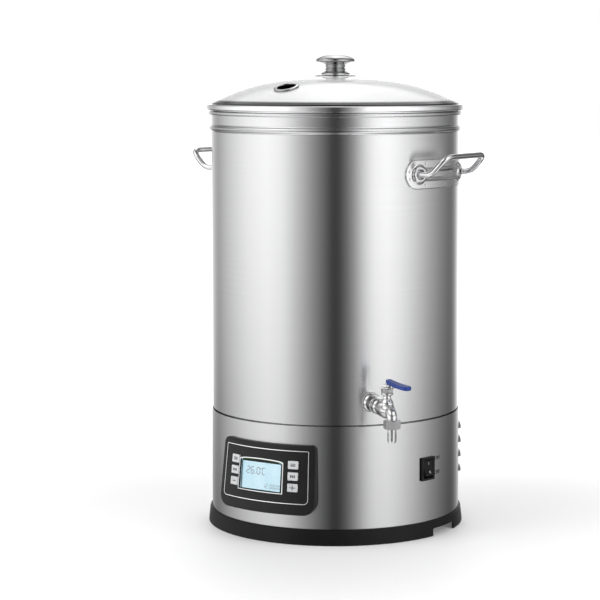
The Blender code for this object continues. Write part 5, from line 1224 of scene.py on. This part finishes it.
def buildBarb():
    radius, low = tap["barbRadius"], tap["barbEnd"]
    profile = [(tap["bore"], low), (radius - 0.0010, low, 0.0004)]
    level = low + 0.0030
    while level + tap["barbPitch"] < tap["nutBottom"]:
        profile += [(radius + tap["barbStep"], level, 0.0003), (radius, level + 0.0005)]
        level += tap["barbPitch"]
    shoulder, top = tap["barbTop"]
    profile += [(radius, shoulder), (tap["spoutRadius"], shoulder), (tap["spoutRadius"], top),
                (tap["bore"], top)]
    finished("hoseBarb", atTap(turned(profile, 72, 3), tap["spout"]), "brewer", castSteel,
             ["hose_barb"], 30)


def atStem(bm):
    return moved(bm, aroundTo(tap["restAngle"]), Matrix.Translation((0, -tap["stem"], 0)),
                 aroundTo(brewer["tapAzimuth"]))


def buildLever():
    low = tap["neckTop"] + brewer["gap"] * 3 + tap["packingHeight"]
    hubHalf, metal = tap["hubHalf"], tap["hubMetal"]
    hub = plate((-hubHalf, -0.0080), (hubHalf, 0.0085), [0.0025] * 4, metal, 5)
    moved(hub, Matrix.Rotation(math.radians(-90), 4, "X"))
    moved(hub, Matrix.Translation((0, 0, low - min(vert.co.z for vert in hub.verts))))
    softened(hub, 0.0003, 2, 40)
    rise, length = low + 0.0015 + tap["leverRise"], tap["leverLength"]

    def strapLevel(along):
        return rise - tap["leverDrop"] / length * along

    strapX, strapZ = tap["strapHalf"]
    riser = block((-strapX, -0.0106, low + 0.0002), (strapX, -0.0091, strapLevel(0.0098)))
    strap = block((-strapX, -length + 0.003, -strapZ), (strapX, -0.0092, strapZ))
    for vert in strap.verts:
        vert.co.z += strapLevel(-vert.co.y) - strapZ
    lever = merged(hub, softened(riser, 0.0003, 2), softened(strap, 0.0003, 2))
    finished("leverPlate", atStem(lever), "tap_valve", castSteel, ["tap_lever"], 35)
    nutLow = low + metal + 0.0004
    nut = hexagonal(tap["leverNutFlats"], 0.0, nutLow, nutLow + tap["leverNutHeight"], 0.0008)
    finished("leverNut", atStem(nut), "tap_valve", castSteel, ["lever_nut"], 30)
    radius, bottom, top = tap["stemRadius"], tap["stemBottom"], nutLow + 0.0045
    stem = turned([(0, bottom), (radius, bottom), (radius, top, 0.0005), (0, top)], 48)
    finished("valveStem", atStem(stem), "tap_valve", castSteel, ["tap_stem"], 40)

    half = tap["sleeveWidth"] / 2
    grip = plate((-half, 0), (half, length - 0.0005), [half * 0.62, half * 0.62, half * 0.86, half * 0.86],
                 tap["sleeveDepth"], 10)
    softened(grip, 0.0017, 5, 40)
    moved(grip, Matrix.Rotation(math.radians(90), 4, "X"))
    sliced(grip, 1, -length, 0, 22)
    for vert in grip.verts:
        along = -vert.co.y
        vert.co.x *= tap["sleevePinch"] + (1 - tap["sleevePinch"]) * smoothStep(0.006, 0.022, along)
        bow = tap["sleeveBow"] * math.sin(math.pi * min(max(along / length, 0), 1))
        vert.co.z += strapLevel(along) - bow
    centre = sum(vert.co.z - strapLevel(-vert.co.y) for vert in grip.verts) / len(grip.verts)
    moved(grip, Matrix.Translation((0, -brewer["gap"], -centre - strapZ)))
    bmesh.ops.recalc_face_normals(grip, faces=grip.faces)
    finished("leverSleeve", atStem(grip), "tap_valve", vinylBlue, ["lever_sleeve"], 45)


carriedFinishes = {
    "basket_shell": steelBasket, "basket_screen": steelBasket, "basket_bail": rodSteel,
    "heating_plate": castAluminium, "heating_element": rodSteel, "temperature_probe": rodSteel,
    "thermal_cutout": glossBlack, "base_plate": steelBasket, "base_screw_1": mirrorSteel,
    "base_screw_2": mirrorSteel, "base_screw_3": mirrorSteel, "board_tray": panelBlack,
    "power_board": boardGreen,
    "control_board": boardGreen, "relay": glossBlack, "terminal_block": keyGrey, "element_lead_1": wireRed,
    "element_lead_2": wireRed, "knob_seal": siliconeGrey, "knob_screw": mirrorSteel,
    "tap_inner_seal": siliconeGrey,
    "tap_back_nut": castSteel, "tap_inner_seat": ptfeWhite, "tap_outer_seat": ptfeWhite,
    "tap_ball": mirrorSteel,
}


def dressCarriedPieces():
    for name, material in carriedFinishes.items():
        mesh = nodes[name].data
        mesh.materials.clear()
        mesh.materials.append(material)


studio = {
    "viewAzimuth": 32.5,
    "distance": 2.8540,
    "cameraLevel": 0.6379,
    "tilt": 6.629,
    "lens": 124.5,
    "shift": -0.0591,
    "floorTint": (0.86, 0.86, 0.86, 1),
    "floorDrop": 0.0002,
    "glowFrom": (0.25, 1.6),       # the floor lights up between these distances from the brewer
    # the dim glow left on the floor near the brewer, a painted shade round its foot
    "paintedShadeGlow": (0.10, 0.10, 0.10, 1),
    "backdrop": 14.0,
    "steelShare": 0.48,            # how much of the room's brightness the steel gives back
    # name, azimuth, height, distance, size, power
    "lamps": (("keyLight", -35, 2.0, 2.6, 1.6, 26), ("fillLight", 95, 1.6, 2.6, 1.4, 14),
              ("topLight", 200, 3.0, 1.2, 2.0, 22)),
    # how bright the room is from the ground up to straight overhead
    "heights": ((0.0, 0.80), (0.26, 0.72), (0.34, 0.16), (0.40, 0.34), (0.435, 1.0), (0.56, 1.0), (0.62, 0.42),
                (0.70, 0.30), (0.76, 1.0),
                (0.90, 1.15), (0.96, 0.30), (1.0, 0.20)),
    # how bright the room is round the brewer: degrees from the camera, brightness on the steel
    "room": ((-180, 1.00), (-166, 0.50), (-150, 0.30), (-138, 0.26), (-114, 0.50), (-88, 0.76), (-66, 0.88),
             (-50, 0.80),
             (-35, 0.50), (-22, 0.26), (-12, 0.13), (-3, 0.035), (3, 0.035), (10, 0.12), (16, 0.24), (22, 0.44),
             (28, 0.66), (36, 0.86), (48, 0.93), (62, 0.80), (78, 0.58), (95, 0.36), (112, 0.21), (128, 0.12),
             (138, 0.11), (148, 0.24), (160, 0.60), (180, 1.00)),
}


def staged(name, bm, material):
    mesh = bpy.data.meshes.new(name)
    bm.to_mesh(mesh)
    bm.free()
    mesh.materials.append(material)
    item = bpy.data.objects.new(name, mesh)
    bpy.context.scene.collection.objects.link(item)
    return item


def buildRoom():
    world = bpy.data.worlds.new("studio")
    bpy.context.scene.world = world
    finish = Finish("studio", world)
    direction = finish.add("ShaderNodeTexCoord", output="Generated")
    x, y, z = (finish.add("ShaderNodeSeparateXYZ", {}, {"Vector": direction}, index) for index in range(3))
    turn = finish.add("ShaderNodeMath", {"operation": "ARCTAN2"}, {0: x, 1: y * -1})
    share = turn / math.tau - studio["viewAzimuth"] / 360 + 0.5
    share = finish.add("ShaderNodeMath", {"operation": "WRAP"}, {0: share, 1: 1.0, 2: 0.0})
    stops = [((degrees + 180) / 360, tone / studio["steelShare"]) for degrees, tone in studio["room"]]
    ring = finish.add("ShaderNodeValToRGB", {"stops": stops}, {"Fac": share})
    shade = finish.add("ShaderNodeValToRGB", {"stops": studio["heights"]}, {"Fac": z / 2 + 0.5})
    bright = finish.add("ShaderNodeMix", {"data_type": "RGBA", "blend_type": "MULTIPLY"},
                        {0: 1.0, 6: ring, 7: shade}, 2)
    background = finish.add("ShaderNodeBackground", {}, {"Color": bright, "Strength": 1.0})
    finish.add("ShaderNodeOutputWorld", {}, {"Surface": background})

    ground = bmesh.new()
    bmesh.ops.create_circle(ground, cap_ends=True, segments=96, radius=studio["backdrop"] * 1.05)
    bmesh.ops.translate(ground, vec=(0, 0, -studio["floorDrop"]), verts=ground.verts)
    paint = Finish("floorPaintedGlow")
    distance = paint.add("ShaderNodeVectorMath", {"operation": "LENGTH"}, {0: paint.place()}, "Value")
    # painted light and shade: the floor glows full white far out and only dimly near the brewer, a painted
    # shade round its foot
    glow = paint.mix(distance.between(*studio["glowFrom"]), studio["paintedShadeGlow"], (1, 1, 1, 1))
    floor = staged("floor", ground,
                   paint.shade({"Base Color": studio["floorTint"], "Roughness": 0.6, "Emission Color": glow,
                                "Emission Strength": 1.0}))
    floor.visible_glossy = False

    wall = bmesh.new()
    away = studio["backdrop"]
    bmesh.ops.create_cone(wall, cap_ends=False, segments=96, radius1=away, radius2=away, depth=away * 2,
                          matrix=Matrix.Translation((0, 0, away * 0.9)))
    paint = Finish("backdropPaint")
    backdrop = staged("backdrop", wall, paint.shade({"Base Color": (0, 0, 0, 1), "Roughness": 1.0,
                                                     "Emission Color": (1, 1, 1, 1), "Emission Strength": 1.0}))
    for use in ("visible_glossy", "visible_diffuse", "visible_transmission", "visible_shadow"):
        setattr(backdrop, use, False)

    for name, azimuth, height, distance, size, power in studio["lamps"]:
        lamp = bpy.data.lights.new(name, "AREA")
        lamp.energy = power
        lamp.size = size
        item = bpy.data.objects.new(name, lamp)
        item.location = pointAt(azimuth, distance, height)
        item.rotation_euler = (Vector((0, 0, 0.3)) - item.location).to_track_quat("-Z", "Y").to_euler()
        item.visible_glossy = False
        bpy.context.scene.collection.objects.link(item)


def placeCamera():
    data = bpy.data.cameras.new("camera")
    data.lens = studio["lens"]
    data.sensor_width = 36
    data.shift_x = studio["shift"]
    item = bpy.data.objects.new("camera", data)
    item.location = pointAt(studio["viewAzimuth"], studio["distance"], studio["cameraLevel"])
    item.rotation_euler = (math.radians(90 - studio["tilt"]), 0, math.radians(studio["viewAzimuth"]))
    bpy.context.scene.collection.objects.link(item)
    bpy.context.scene.camera = item
    bpy.context.scene.view_settings.view_transform = "Standard"


for label, build in (("kettle", buildKettle), ("skirt", buildSkirt), ("base", buildBase),
                     ("left handle", lambda: buildHandle("left", -90)),
                     ("right handle", lambda: buildHandle("right", 90)), ("lid", buildLid), ("knob", buildKnob),
                     ("panel", buildPanel), ("switch", buildSwitch),
                     ("inlet", buildInlet), ("tap", buildTap), ("inner pieces", dressCarriedPieces),
                     ("room", buildRoom), ("camera", placeCamera)):
    build()
    print("made:", label)
